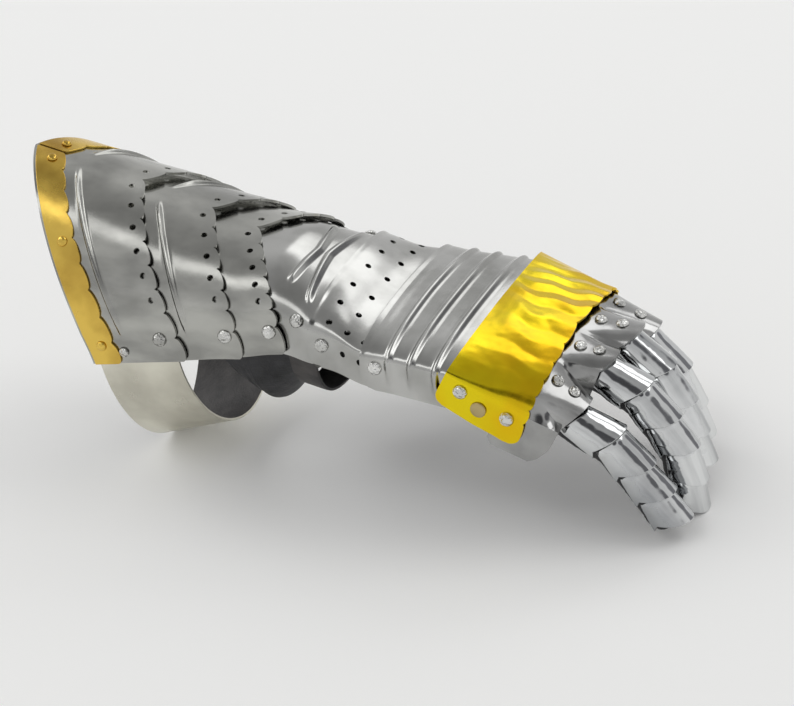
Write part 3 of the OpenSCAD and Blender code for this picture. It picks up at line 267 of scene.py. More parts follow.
def plate_grid(plate, rows, shape, columns, cuts, corners=(0, 0), extra=None, parted=False):
    us = np.linspace(-1, 1, columns + 1)
    lines = []
    last = len(rows) - 2
    done = 0
    for k, n in enumerate(cuts):
        lo, hi = rows[k], rows[k + 1]
        for j in range(n + (k == last)):
            t = j / n
            s = 0.5 - 0.5 * math.cos(math.pi * t)
            v = (done + j) / sum(cuts)
            x = (1 - t) * row_x(lo, us, shape) + t * row_x(hi, us, shape)
            x = x + corner(us, corners[0]) * max(0, 1 - 2 * v) ** 2
            x = x - corner(us, corners[1]) * max(0, 2 * v - 1) ** 2
            lift = (1 - s) * row_lift(lo, us) + s * row_lift(hi, us)
            if parted:
                lift = lift * np.clip((np.abs(us) - CREST_FROM) / CREST_FADE, 0, 1)
            if extra is not None:
                lift = lift + extra(us, x, v)
            lines.append(plate_point(us, x, lift, plate))
        done += n
    return np.array(lines)


print("rear point of the cuff at", np.round(plate_point(np.array([0.0]), np.array([-70.4]), 0.0, "cuff")[0], 1))

# %% [markdown]
# ## From numbers to pieces
# Each piece of the gauntlet is one object with a name of its own. It could be drawn with Blender's tools, but
# a mesh from lists of points and faces comes out the same every time. The piece names its material slot, the
# CAD node that it stands for, and the body that it moves with.


def make(name, verts, faces, matrix, material, angle=35):
    mesh = bpy.data.meshes.new(name)
    mesh.from_pydata([tuple(v) for v in verts], [], faces)
    mesh.transform(matrix)
    mesh.update()
    mesh.polygons.foreach_set("use_smooth", [True] * len(mesh.polygons))
    mesh.set_sharp_from_angle(angle=math.radians(angle))
    mesh.materials.append(material)
    piece = bpy.data.objects.new(name, mesh)
    bpy.context.scene.collection.objects.link(piece)
    return piece


def hang(piece, node, body):
    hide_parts(node)
    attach(piece, body)
    print(piece.name, "-", len(piece.data.polygons), "faces, on", body)


# %% [markdown]
# ## Sheets with real thickness
# Steel sheet has an inner face and a thin edge that catches light. A Solidify modifier would give both, but
# building the second face here keeps the thickness exact and lets the inner face and the cut edge carry dark
# materials of their own, as painted shade inside a loop and a painted shadow line along the edge. A small
# bevel softens the cut edge.

# %% Sheets with real thickness
EDGE_BEVEL = 0.3


def normals(grid):
    n = np.cross(np.gradient(grid, axis=0), np.gradient(grid, axis=1))
    return n / np.maximum(np.linalg.norm(n, axis=-1, keepdims=True), 1e-9)


def grid_faces(nv, nu, start=0, flip=False):
    out = []
    for v in range(nv - 1):
        for u in range(nu - 1):
            a = start + v * nu + u
            q = [a, a + nu, a + nu + 1, a + 1]
            out.append(q[::-1] if flip else q)
    return out


def rim_faces(nv, nu):
    n = nv * nu
    b = n - nu
    faces = []
    for v in range(nv - 1):
        a, c = v * nu, v * nu + nu - 1
        faces.append([a, n + a, n + a + nu, a + nu])
        faces.append([c, c + nu, n + c + nu, n + c])
    for u in range(nu - 1):
        faces.append([u, u + 1, n + u + 1, n + u])
        faces.append([b + u, n + b + u, n + b + u + 1, b + u + 1])
    return faces


def sheet_piece(name, grid, thick, matrix, material, angle=35, inner_shade=None, rim=None):
    nv, nu = grid.shape[:2]
    inner = grid - normals(grid) * thick
    verts = np.concatenate([grid.reshape(-1, 3), inner.reshape(-1, 3)])
    faces = grid_faces(nv, nu) + grid_faces(nv, nu, nv * nu, True) + rim_faces(nv, nu)
    piece = make(name, verts, faces, matrix, material, angle)
    one_side = (nv - 1) * (nu - 1)
    # the inner face and the cut edge get their own dark materials: painted shade inside and a painted shadow
    # line along the edge
    for shade_material, first, end in ((inner_shade, one_side, 2 * one_side), (rim, 2 * one_side, len(faces))):
        if shade_material:
            piece.data.materials.append(shade_material)
            for face in piece.data.polygons[first:end]:
                face.material_index = len(piece.data.materials) - 1
    bevel = piece.modifiers.new("edge", "BEVEL")
    bevel.width = EDGE_BEVEL * MM
    bevel.segments = 2
    bevel.limit_method = "ANGLE"
    bevel.angle_limit = math.radians(50)
    bevel.harden_normals = True
    return piece


print("every cut edge has a bevel of", EDGE_BEVEL, "mm")

# %% [markdown]
# ## Rivets
# A rivet is a shank through two sheets, closed by a dome that was hammered cold. A sphere would look
# machined, so each rivet is spun from a profile and its dome is dented a little, by a random generator with a
# fixed seed.

# %% Rivets
AROUND = 28
DENTS, DENT_DEPTH, DENT_WIDTH = 5, 0.16, 0.8
# dome diameter, dome height and shank radius
LARGE, MIDDLE, SMALL = (7.0, 2.5, 2.0), (6, 2, 1.4), (5, 1.8, 1.2)


def spin_faces(rings, n, closed_ends=True):
    faces = []
    for k in range(rings - 1):
        for j in range(n):
            b = (j + 1) % n
            faces.append([k * n + j, k * n + b, (k + 1) * n + b, (k + 1) * n + j])
    if closed_ends:
        faces.append(list(range(n))[::-1])
        faces.append([(rings - 1) * n + j for j in range(n)])
    return faces


def circle(r, z, n):
    turns = [2 * math.pi * j / n for j in range(n)]
    return [np.array([r * math.cos(t), r * math.sin(t), z]) for t in turns]


def facing(point, normal):
    z = Vector(normal).normalized()
    return Matrix.Translation(Vector(point)) @ z.to_track_quat("Z", "Y").to_matrix().to_4x4()


def dome(d, h, shank, grip):
    steps = [math.radians(s) for s in (8, 18, 30, 42, 54, 66, 78, 86)]
    return [(0.3, -grip - 0.7), (shank * 1.4, -grip - 0.6), (shank * 1.5, -grip), (shank, -grip), (shank, 0.02),
            (d / 2 * 0.96, 0.02)] + [(d / 2 * math.cos(s) ** 0.8, h * math.sin(s)) for s in steps]


def spun(name, places, profile, material, matrix, marks=None):
    verts, faces = [], []
    for k, spot in enumerate(places):
        start = len(verts)
        for r, z in profile:
            for p in circle(r, z, AROUND):
                if marks is not None and z > 0.3:
                    for q in marks[k]:
                        away = np.hypot(p[0] - q[0], p[1] - q[1])
                        p[2] -= DENT_DEPTH * math.exp(-(away / DENT_WIDTH) ** 2)
                verts.append(tuple(spot @ Vector(p)))
        faces += [[start + i for i in f] for f in spin_faces(len(profile), AROUND)]
    return make(name, verts, faces, matrix, material, 50)


def rivets(name, places, size, grip, material, matrix, seed=1):
    rng = np.random.default_rng(seed)
    marks = rng.uniform(-1, 1, (len(places), DENTS, 3)) * size[0] * 0.35
    return spun(name, places, dome(*size, grip), material, matrix, marks)


print("large rivets are", LARGE[0], "mm across, small ones", SMALL[0], "mm")

# %% [markdown]
# ## Pierced holes
# The holes along the plates' edges go right through the sheet. A painted dot would be enough from far away,
# but a hole cut with an exact Boolean shows the sheet's thickness and what lies behind it.

# %% Pierced holes
HOLE_R = 1.5
HOLE_AROUND = 24
CUT_BELOW, CUT_ABOVE = -3.5, 3.0


def spot_on(plate, u, x, lift=0.0):
    def at(uu, xx):
        return plate_point(np.array([uu]), np.array([xx]), 0.0, plate)[0]
    p = at(u, x)
    n = np.cross(at(u, x + 0.5) - at(u, x - 0.5), at(u + 0.004, x) - at(u - 0.004, x))
    n = n / np.linalg.norm(n)
    return facing(p + n * lift, n)


def scallop_holes(plate, line, shape, back):
    out = []
    for side in (-1, 1):
        for k in range(shape[0] - 2):
            u = side * (k + 0.5) / shape[0]
            out.append(spot_on(plate, u, float(row_x(row(*line[:2]), np.array(u), shape)) - back))
    return out


def pierce(piece, spots, matrix):
    verts, faces = [], []
    for spot in spots:
        start = len(verts)
        for z in (CUT_BELOW, CUT_ABOVE):
            verts += [tuple(spot @ Vector(p)) for p in circle(HOLE_R, z, HOLE_AROUND)]
        faces += [[start + i for i in f] for f in spin_faces(2, HOLE_AROUND)]
    cutter = make("cutter", verts, faces, matrix, piece.data.materials[0])
    cut = piece.modifiers.new("holes", "BOOLEAN")
    cut.object = cutter
    cut.solver = "EXACT"
    bpy.context.view_layer.objects.active = piece
    while piece.modifiers[0] != cut:
        piece.modifiers.move(len(piece.modifiers) - 1, 0)
    with bpy.context.temp_override(object=piece, active_object=piece, selected_objects=[piece]):
        bpy.ops.object.modifier_apply(modifier="holes")
    bpy.data.objects.remove(cutter)


print("holes are", 2 * HOLE_R, "mm wide")

# %% [markdown]
# ## Shader helpers
# No real surface has one even colour or gloss. Image textures would need unwrapping and would not follow a
# changed plate, so every finish here is a Principled shader fed by noise in object space. These helpers add
# one node each.

# %% Shader helpers
def principled(name, colour, metallic, roughness):
    m = bpy.data.materials.new(name)
    m.use_nodes = True
    s = m.node_tree.nodes["Principled BSDF"]
    s.inputs["Base Color"].default_value = (*colour, 1)
    s.inputs["Metallic"].default_value = metallic
    s.inputs["Roughness"].default_value = roughness
    return m, m.node_tree.nodes, m.node_tree.links, s


def ramp(nodes, stops):
    r = nodes.new("ShaderNodeValToRGB")
    while len(r.color_ramp.elements) < len(stops):
        r.color_ramp.elements.new(0.5)
    for e, (at, c) in zip(r.color_ramp.elements, stops):
        e.position = at
        e.color = (*c, 1) if hasattr(c, "__len__") else (c, c, c, 1)
    return r


def noise(nodes, links, coord, scale, detail, stretch=None):
    t = nodes.new("ShaderNodeTexNoise")
    t.inputs["Scale"].default_value = scale
    t.inputs["Detail"].default_value = detail
    if stretch:
        mapping = nodes.new("ShaderNodeMapping")
        mapping.inputs["Scale"].default_value = stretch
        links.new(coord, mapping.inputs["Vector"])
        coord = mapping.outputs["Vector"]
    links.new(coord, t.inputs["Vector"])
    return t.outputs["Fac"]


def bump(nodes, links, height, strength, distance, onto):
    b = nodes.new("ShaderNodeBump")
    b.inputs["Strength"].default_value = strength
    b.inputs["Distance"].default_value = distance
    links.new(height, b.inputs["Height"])
    links.new(b.outputs["Normal"], onto.inputs["Normal"])
    return b


def spread(nodes, links, value, lo, hi):
    s = nodes.new("ShaderNodeMapRange")
    for socket, v in (("From Min", 0.3), ("From Max", 0.7), ("To Min", lo), ("To Max", hi)):
        s.inputs[socket].default_value = v
    links.new(value, s.inputs["Value"])
    return s.outputs["Result"]


print("helpers for noise, tone, gloss and bump are ready")

# %% [markdown]
# ## Steel and brass finishes
# Sheet metal that was rubbed by hand has cloudy tone, uneven gloss and fine lines along the brush. One noise
# could drive all three, but then dark spots would always be dull. So each has its own: a slow one for tone, a
# middle one for roughness, a fine stretched one for the brush, and a broad one for dents. The steel is satin
# on the cuff, brighter on the hand, and near mirror on the fingers.

# %% Steel and brass finishes
FINE_SCALE, GLOSS_SCALE = 700, 90
BRUSH = (1, 1, 14)
BRUSH_DEPTH, WAVE_DEPTH = 0.0002, 0.002


def metal(name, light, dark, rough, grain, wave=0.0, wave_scale=60, blotch_scale=35, streak=None):
    m, nodes, links, s = principled(name, light, 1.0, sum(rough) / 2)
    coord = nodes.new("ShaderNodeTexCoord").outputs["Object"]
    tone = ramp(nodes, [(0.35, dark), (0.62, light)])
    links.new(noise(nodes, links, coord, blotch_scale, 4, streak), tone.inputs["Fac"])
    links.new(tone.outputs["Color"], s.inputs["Base Color"])
    links.new(spread(nodes, links, noise(nodes, links, coord, GLOSS_SCALE, 5), *rough), s.inputs["Roughness"])
    fine = bump(nodes, links, noise(nodes, links, coord, FINE_SCALE, 2, BRUSH), grain, BRUSH_DEPTH, s)
    if wave:
        bump(nodes, links, noise(nodes, links, coord, wave_scale, 2), wave, WAVE_DEPTH, fine)
    return m


SATIN = metal("satin_steel", light=(0.47, 0.47, 0.442), dark=(0.29, 0.29, 0.275), rough=(0.14, 0.24),
              grain=0.08, wave=0.16, wave_scale=28, streak=(0.7, 1, 1.8))
HAND = metal("hand_steel", light=(0.52, 0.52, 0.505), dark=(0.37, 0.37, 0.355), rough=(0.13, 0.21),
             grain=0.06, wave=0.12, wave_scale=22)
MIRROR = metal("polished_steel", light=(0.74, 0.75, 0.75), dark=(0.36, 0.37, 0.38), rough=(0.05, 0.11),
               grain=0.03, wave=0.35, wave_scale=70, streak=(0.25, 3.2, 0.25))
LOBE = metal("lobe_steel", light=(0.43, 0.43, 0.425), dark=(0.27, 0.27, 0.265), rough=(0.1, 0.18),
             grain=0.04, wave=0.25)
GUARD = metal("pale_steel", light=(0.74, 0.72, 0.62), dark=(0.56, 0.54, 0.46), rough=(0.26, 0.36),
              grain=0.08, wave=0.15, wave_scale=20)
# Dark material for the cut edges of the base plate and finger lames: a painted shadow line along each edge
RIM_SHADE = metal("painted_rim_shade", light=(0.36, 0.36, 0.355), dark=(0.2, 0.2, 0.2), rough=(0.25, 0.4), grain=0.05)
RIVET_STEEL = metal("rivet_steel", light=(0.8, 0.8, 0.78), dark=(0.4, 0.4, 0.38), rough=(0.1, 0.18),
                    grain=0.04, wave=1.0, wave_scale=400)
TRIM = metal("brass_trim", light=(0.78, 0.54, 0.11), dark=(0.46, 0.28, 0.05), rough=(0.16, 0.3),
             grain=0.05, wave=0.25, wave_scale=55)
BAND = metal("knuckle_brass", light=(0.82, 0.65, 0.014), dark=(0.8, 0.49, 0.01), rough=(0.17, 0.27),
             grain=0.03, wave=0.35, wave_scale=55, blotch_scale=25)
COPPER_TAN = metal("copper", light=(0.5, 0.4, 0.2), dark=(0.36, 0.28, 0.13), rough=(0.3, 0.42), grain=0.05)
print(len(bpy.data.materials), "materials so far")

# %% [markdown]
# ## Leather finish
# The glove is black leather with a fine pebble and soft creases. One noise would make it look like cloth, so
# a Voronoi texture gives the pebble and a slower noise the creases, one bump on top of the other.

# %% Leather finish
PEBBLE_SCALE, CREASE_SCALE, TONE_SCALE = 1100, 150, 120
PEBBLE_DEPTH, CREASE_DEPTH = 0.0003, 0.001


def leather(name, dark, light):
    m, nodes, links, s = principled(name, light, 0.0, 0.55)
    coord = nodes.new("ShaderNodeTexCoord").outputs["Object"]
    pebble = nodes.new("ShaderNodeTexVoronoi")
    pebble.inputs["Scale"].default_value = PEBBLE_SCALE
    links.new(coord, pebble.inputs["Vector"])
    tone = ramp(nodes, [(0.3, dark), (0.7, light)])
    links.new(noise(nodes, links, coord, TONE_SCALE, 4), tone.inputs["Fac"])
    links.new(tone.outputs["Color"], s.inputs["Base Color"])
    grain = bump(nodes, links, pebble.outputs["Distance"], 0.35, PEBBLE_DEPTH, s)
    bump(nodes, links, noise(nodes, links, coord, CREASE_SCALE, 5, (1, 1, 2)), 0.5, CREASE_DEPTH, grain)
    return m


LEATHER = leather("black_leather", (0.008, 0.008, 0.009), (0.03, 0.03, 0.033))
STRAP_LEATHER = leather("strap_leather", (0.022, 0.02, 0.02), (0.06, 0.054, 0.052))
print(len(bpy.data.materials), "materials in all")

# %% [markdown]
# ## Cuff plate
# The cuff flares towards the elbow, its rear edge rises to a point, and its front edge is cut in scallops
# with a hole in each. A narrow flute on each side is hammered up from behind. A texture could displace it, but
# as a height along the grid's own rows it stays sharp, and edge and surface stay one sheet.

# %% Cuff plate
CUFF_SHAPE = (8, 1.4)
CUFF_CUTS = [14, 6, 6, 14, 14]
SCALLOP = 2.4
REAR_SIDE, REAR_CROWN = -CUFF_SIDE, -70.4
FRONT_SIDE, FRONT_CROWN = 12.0, -15.0
CUFF_ROWS = ([row(REAR_SIDE, REAR_CROWN)] + flute(REAR_SIDE + 22.5, REAR_CROWN + 22.5, 2.0, 0.9)
             + [row(-4.5, (REAR_CROWN + FRONT_CROWN) / 2 + 8),
                row(FRONT_SIDE - SCALLOP, FRONT_CROWN - SCALLOP, scallop=SCALLOP)])

cuff_grid = plate_grid("cuff", CUFF_ROWS, CUFF_SHAPE, 224, CUFF_CUTS, parted=True)
cuff = sheet_piece("cuff_sheet", cuff_grid, STEEL_T, place("cuff"), SATIN)
pierce(cuff, scallop_holes("cuff", CUFF_ROWS[-1], CUFF_SHAPE, 4), place("cuff"))
hang(cuff, "cuff_plate", "cuff")

# %% [markdown]
# ## Brass strips
# Brass strips with a scalloped inner edge are riveted round the cuff's rear edge and meet in a mitre at the
# point. They could be a second material on the cuff, but real strips stand proud and catch the light, so each
# is its own thin sheet.

# %% Brass strips
TRIM_W = 15.5
TRIM_SHAPE = (9, 1.4)
TRIM_INSET, TRIM_LIFT, TRIM_SCALLOP = 1.6, 0.15, 2.3


def trim_grid(side):
    us = side * np.linspace(0.004, 1, 150)
    if side < 0:
        us = us[::-1]
    outer = row_x(row(REAR_SIDE + TRIM_INSET, REAR_CROWN + TRIM_INSET), us, CUFF_SHAPE)
    inner = row_x(row(REAR_SIDE + TRIM_W - 1, REAR_CROWN + TRIM_W - 1.4, scallop=TRIM_SCALLOP), us, TRIM_SHAPE)
    return np.array([plate_point(us, (1 - t) * outer + t * inner, TRIM_LIFT + BRASS_T, "cuff")
                     for t in np.linspace(0, 1, 9)])


for side, name in ((-1, "near"), (1, "far")):
    strip = sheet_piece("brass_strip_" + name, trim_grid(side), BRASS_T, place("cuff"), TRIM)
    hang(strip, "cuff_trim_" + name, "cuff")

trim_spots = []
for side in (-1, 1):
    for u in (0.06, 0.47, 0.9):
        x = float(row_x(row(REAR_SIDE, REAR_CROWN), np.array(side * u), CUFF_SHAPE)) + TRIM_W * 0.6
        trim_spots.append(spot_on("cuff", side * u, x, lift=1.23))
hang(rivets("brass_strip_rivets", trim_spots, SMALL, 2.6, TRIM, place("cuff"), seed=3), "trim_rivets", "cuff")

# %% [markdown]
# ## Side pivots
# Every pair of plates turns on one rivet at each side. The rivets could be part of a plate's mesh, but they
# are pieces of their own here, as on the real object, and ride with the plate that carries them.

# %% Side pivots
def pair(x, w, z=0.0):
    return [facing((x, s * (w + 0.02), z), (0, s, 0)) for s in (-1, 1)]


for name, node, plate, x, w, grip, body, seed in (
        ("cuff_side_rivets", "cuff_pivots", "cuff", 0, FRONT_W["cuff"], 2.9, "cuff", 5),
        ("upper_side_rivets", "upper_pivots", "upper", STEP["upper"], FRONT_W["upper"], 2.9,
         "upper_cuff_lame", 6),
        ("lower_side_rivets", "lower_pivots", "lower", STEP["lower"], FRONT_W["lower"], 3.9,
         "lower_cuff_lame", 7),
        ("wrist_side_rivets", "wrist_pivots", "perforated", 0, REAR_W["perforated"], 2.9, "perforated", 8),
        ("palm_side_rivets", "ribbed_pivots", "ribbed", 0, REAR_W["ribbed"], 2.9, "back_of_hand", 9),
        ("band_rear_rivets", "band_rear_pivots", "band", 0, KNUCKLE_W, 4.2, "knuckles", 10),
        ("band_front_rivets", "band_front_pivots", "band", STEP["band"], BAND_FRONT_W, 3.1, "knuckles", 11)):
    hang(rivets(name, pair(x, w), LARGE, grip, RIVET_STEEL, place(plate), seed), node, body)
studs = rivets("under_plate_studs", pair(-21, 49.92, -6), SMALL, 3.1, RIVET_STEEL, place("cuff"), 12)
hang(studs, "under_plate_rivets", "cuff")

# %% [markdown]
# ## Cuff lames
# Two narrower plates repeat the cuff's shape and slide under it. They could be scaled copies of the cuff, but
# scaling would thin the sheet and squash the scallops, so each has its own rows.

# %% Cuff lames
LAME_SHAPES = {"upper": (7, 2), "lower": (7, 2.4)}
LAME_ROWS = {"upper": [row(-7, -27), row(4.5, -17)] + flute(15, -12, 2, 0.9)
             + [row(28.3, 7), row(37.9, 14.4, scallop=SCALLOP)],
             "lower": [row(-7, -28), row(4.5, -12), row(17.3, 0), row(25.6, 4.4, scallop=SCALLOP)]}
LAME_CUTS = {"upper": [4, 5, 6, 6, 10, 10], "lower": [6, 12, 10]}
HOLE_BACK = {"upper": 4, "lower": 4.5}

for plate, shape in LAME_SHAPES.items():
    grid = plate_grid(plate, LAME_ROWS[plate], shape, 196, LAME_CUTS[plate], parted=plate == "upper")
    lame = sheet_piece(plate + "_sheet", grid, STEEL_T, place(plate), SATIN)
    pierce(lame, scallop_holes(plate, LAME_ROWS[plate][-1], shape, HOLE_BACK[plate]), place(plate))
    hang(lame, plate + "_lame", plate + "_cuff_lame")

# %% [markdown]
# ## Wrist lame
# The wrist lame is long and smooth, with two slanted flutes at each side that meet on top. They slant because
# a row may lie further forward at the crown than at the side, so no separate flute mesh is needed.

# %% Wrist lame
PLAIN = (1, 1.2)
PLAIN_COLUMNS = 180
WRIST_ROWS = ([row(-7, -27)] + flute(0.5, 8, 2.5, 0.42) + flute(20.5, 13, 2.5, 0.5)
              + [row(35.3, 35.3, lift=-0.45)])
wrist_grid = plate_grid("wrist", WRIST_ROWS, PLAIN, PLAIN_COLUMNS, [8, 6, 6, 10, 6, 6, 8], (0, 8))
wrist = sheet_piece("wrist_sheet", wrist_grid, STEEL_T, place("wrist"), HAND)
hang(wrist, "wrist_lame", "wrist")

# %% [markdown]
# ## Perforated lame
# The next plate is plain but pierced with rows of holes. Its free rear edge is bent up a little, as a filed
# edge is. That makes the overlap read as a line and leaves the wrist room to turn. A texture of dots would
# not show the glove behind.

# %% Perforated lame
PERF_ROWS = [row(-7.5, -7, lift=0.7), row(-4.5, -4, lift=0.1), row(4.5, 4.5), row(16, 16), row(25, 25),
             row(36.5, 36.5)]
perforated_grid = plate_grid("perforated", PERF_ROWS, PLAIN, PLAIN_COLUMNS, [5, 6, 8, 8, 6], (7, 4))
perforated = sheet_piece("perforated_sheet", perforated_grid, STEEL_T, place("perforated"), HAND)
holes = []
for x, side_holes in ((1.5, []), (11.2, [-0.89, 0.89]), (20.8, [-0.89, 0.89])):
    for u in [-0.58, -0.34, -0.15, 0.02, 0.19, 0.38, 0.6] + side_holes:
        holes.append(spot_on("perforated", u, x))
pierce(perforated, holes, place("perforated"))
hang(perforated, "perforated_lame", "perforated")

# %% [markdown]
# ## Ribbed lame
# Three ribs run across the back of the hand and stiffen the plate. A bevelled curve could stand on the sheet
# as a rib, but a real rib is hammered out of the sheet itself, so it is three rows of the same grid.

# %% Ribbed lame
RIB_HALF = 2.6
RIBBED_ROWS = [row(-7, -8, lift=0.95), row(-4, -5, lift=0.4), row(2, 1, lift=0.05)]
for side, crown in ((7, 5.5), (18, 18), (30.5, 30.5)):
    RIBBED_ROWS += flute(side, crown, RIB_HALF, 0.98)
RIBBED_ROWS += [row(37.5, 37.5), row(48.8, 48.8)]
ribbed_grid = plate_grid("ribbed", RIBBED_ROWS, PLAIN, PLAIN_COLUMNS, [5, 5, 4] + [6] * 8 + [4, 5], (7, 3))
ribbed = sheet_piece("ribbed_sheet", ribbed_grid, STEEL_T, place("ribbed"), HAND)
hang(ribbed, "ribbed_lame", "back_of_hand")

# %% [markdown]
# ## Strap rivets
# One more rivet at each side of the wrist lame holds the leather strap below it. They could be mirrored copies,
# but no two hammered domes are alike, so both are made with dents of their own.

# %% Strap rivets
strap_spots = [spot_on("wrist", side * 0.72, 14.5, lift=0.5) for side in (-1, 1)]
strap_rivets = rivets("strap_rivets", strap_spots, LARGE, 4.6, RIVET_STEEL, place("wrist"), seed=13)
hang(strap_rivets, "wrist_strap_rivets", "wrist")

# %% [markdown]
# ## Knuckle band
# The yellow brass band is creased over its top, as thin sheet is when it is pushed together by hand.
# Sculpting would not repeat exactly, so the creases are long ridges of different widths over flat random
# facets, and they fade out before the smooth riveted sides.

# %% Knuckle band
FACETS_ALONG, FACETS_ROUND = 3, 12
FACET_START, FACET_SPAN = -12, 50
crumple_rng = np.random.default_rng(11)
CRUMPLE = crumple_rng.uniform(0, 1, (FACETS_ALONG + 1, FACETS_ROUND + 1))
# where each ridge lies, how tall it is and how wide
FOLD_LINES = [(-0.36, 0.45, 0.1), (-0.16, 0.5, 0.09), (0.0, 0.85, 0.075), (0.11, 1.0, 0.06),
              (0.215, 0.8, 0.055), (0.32, 1.0, 0.06), (0.45, 0.7, 0.07), (0.58, 0.5, 0.07)]
FOLD_SHARE = 0.95
SMOOTH_FROM, SMOOTH_FADE = 0.6, 0.12


def facet(u, x):
    gx = np.clip((x - FACET_START) / FACET_SPAN, 0, 0.999) * FACETS_ALONG
    gu = np.clip((u + 1 + 0.01 * (x - 10)) / 2, 0, 0.999) * FACETS_ROUND
    i, j = np.floor(gx).astype(int), np.floor(gu).astype(int)
    a, b = gx - i, gu - j
    near, ahead, beside, across = CRUMPLE[i, j], CRUMPLE[i + 1, j], CRUMPLE[i, j + 1], CRUMPLE[i + 1, j + 1]
    low = near + a * (ahead - near) + b * (across - ahead)
    high = near + b * (beside - near) + a * (across - beside)
    return np.where(a > b, low, high)


def fold_at(u, x):
    bent = u + 0.03 * np.sin(x * 0.11 + 5 * u) + 0.012 * np.sin(x * 0.31 + 14 * u)
    ridge = np.zeros_like(u)
    for at, tall, wide in FOLD_LINES:
        swell = 1 + 0.25 * np.sin(x * 0.2 + 40 * at)
        ridge = np.maximum(ridge, tall * swell * np.maximum(0, 1 - np.abs(bent - at) / wide))
    return ridge


def folds(u, x, v):
    fade = np.clip((SMOOTH_FROM - np.abs(u)) / SMOOTH_FADE, 0, 1) * min(1.0, v * 3 + 0.12)
    return fade * (FOLD_SHARE * fold_at(u, x) + facet(u, x))


BAND_ROWS = [row(-9.5, -10.5), row(-5, -6), row(15.2, 11), row(20.3, 15), row(32.5, 25.5, scallop=1.4)]
band_grid = plate_grid("band", BAND_ROWS, (7, 1), 252, [8, 16, 6, 12], (5, 6), extra=folds)
band = sheet_piece("band_sheet", band_grid, BRASS_T, place("band"), BAND, 50)
hang(band, "knuckle_band", "knuckles")

# %% [markdown]
# ## Copper studs
# Between the band's two pivots sits one flat copper stud at each side. A flattened dome would have a soft
# rim, but the real stud's rim is square with a small bevel, so it is spun from a profile of its own.

# %% Copper studs
STUD_X, STUD_Z = 11.0, -3.0
STUD_PROFILE = [(0.3, -1.5), (3, -1.5), (3, -1.1), (2, -1.1), (2, 0), (3.75, 0.05), (3.8, 0.4), (3.6, 0.9),
                (3.2, 1.1), (0.4, 1.1)]
copper_studs = spun("copper_studs", pair(STUD_X, KNUCKLE_W, STUD_Z), STUD_PROFILE, COPPER_TAN, place("band"))
hang(copper_studs, "copper_rivets", "knuckles")

# %% [markdown]
# ## Finger base plate
# One plate carries four lobes, one over each finger, with sharp valleys between them. A wavy edge on the
# usual grid would be too soft. So every column is drawn by itself: true arcs for the lobes, joined by
# straight columns, which keep each lobe's rim round where the first finger lame turns inside it.

# %% Finger base plate
LOBE_R = 13.2
BASE_DROP = 18.0
BASE_REAR, BASE_FLAT = -6.5, 7.0    # the part under the band runs from here to here
NAMES = ["little", "ring", "middle", "index"]
LOBE_FROM, LOBE_TO = (-78, -56, -56, -52), (52, 56, 56, 78)


def to_base(x, z):
    dx, dz, a = x - BX, z - BZ, math.radians(SLOPE["base"])
    return dx * math.cos(a) + dz * math.sin(a), -dx * math.sin(a) + dz * math.cos(a)


CENTRES = [to_base(FINGERS[n][1], FINGERS[n][2]) for n in NAMES]


def base_height(x):
    return BASE_LOW[1] + BASE_RISE * (x - BASE_LOW[0])


# One line of the plate from its rear edge (v = 0) under the band (v = 2) and out to its front edge (v = 5)
def base_column(front, back, vs):
    start = back(BASE_FLAT)
    line = []
    for v in vs:
        if v < 2:
            line.append(back(BASE_REAR - BASE_REAR * v if v < 1 else BASE_FLAT * (v - 1)))
        else:
            b = (v - 2) / 3
            e = b ** 1.3
            line.append([start[0] + (front[0] - start[0]) * b, start[1] + (front[1] - start[1]) * e,
                         start[2] + (front[2] - start[2]) * e])
    return np.array(line)


def side_column(t, side, vs):
    u = -1 + t * (1 - ARCH_SHARE)
    front_z = np.interp(t, [0, 0.44, 1], [-BASE_DROP, -8, ARCH_BASE])
    front_x = np.interp(t, [0, 0.12, 0.44, 1], [14.5, 18, 22, 24]) + (6 if side > 0 else 0)

    def back(x):
        y, z = section(np.array(u), BASE_W, base_height(x), BASE_DROP)
        rounded = max(0.0, 0.12 - t) / 0.12
        return [x - 2.5 * rounded * min(x, 0) / 6.5, -side * float(y), float(z)]
    return base_column([front_x, side * BASE_W, front_z], back, vs)


def lobe_column(k, angle, vs):
    t = math.radians(angle)
    y = FINGERS[NAMES[k]][0] + LOBE_R * math.sin(t)
    front = [CENTRES[k][0] + 3.5 - 6.5 * (1 - math.cos(1.15 * t)), y, CENTRES[k][1] + LOBE_R * math.cos(t)]

    def back(x):
        rise = (1 - min(1, abs(y) / BASE_W) ** ROUNDNESS) ** (1 / ROUNDNESS)
        return [x, y, ARCH_BASE + (base_height(x) - ARCH_BASE) * rise]
    return base_column(front, back, vs)


def between(a, b, n):
    return [a + (b - a) * k / (n + 1) for k in range(1, n + 1)]


def base_grid():
    vs = np.linspace(0, 5, 41)
    columns = [side_column(t, -1, vs) for t in np.linspace(0, 1, 14)]
    far = [side_column(t, 1, vs) for t in np.linspace(1, 0, 14)]
    for k in range(4):
        lobe = [lobe_column(k, a, vs) for a in np.linspace(LOBE_FROM[k], LOBE_TO[k], 30)]
        columns = columns + between(columns[-1], lobe[0], 3) + lobe
    columns = columns + between(columns[-1], far[0], 3) + far
    return np.stack(columns, axis=1)


# its cut edges carry the dark painted shadow line
base = sheet_piece("base_sheet", base_grid(), STEEL_T, place("base"), LOBE, 30, rim=RIM_SHADE)
hang(base, "finger_base_plate", "finger_base")

# %% [markdown]
# ## Lobe rivets
# Two rivets in a row hold each lobe to the leather below. Their places could be typed in, but a rivet that is
# a little off its curved plate shows at once, so each is placed and turned by the columns beside it.

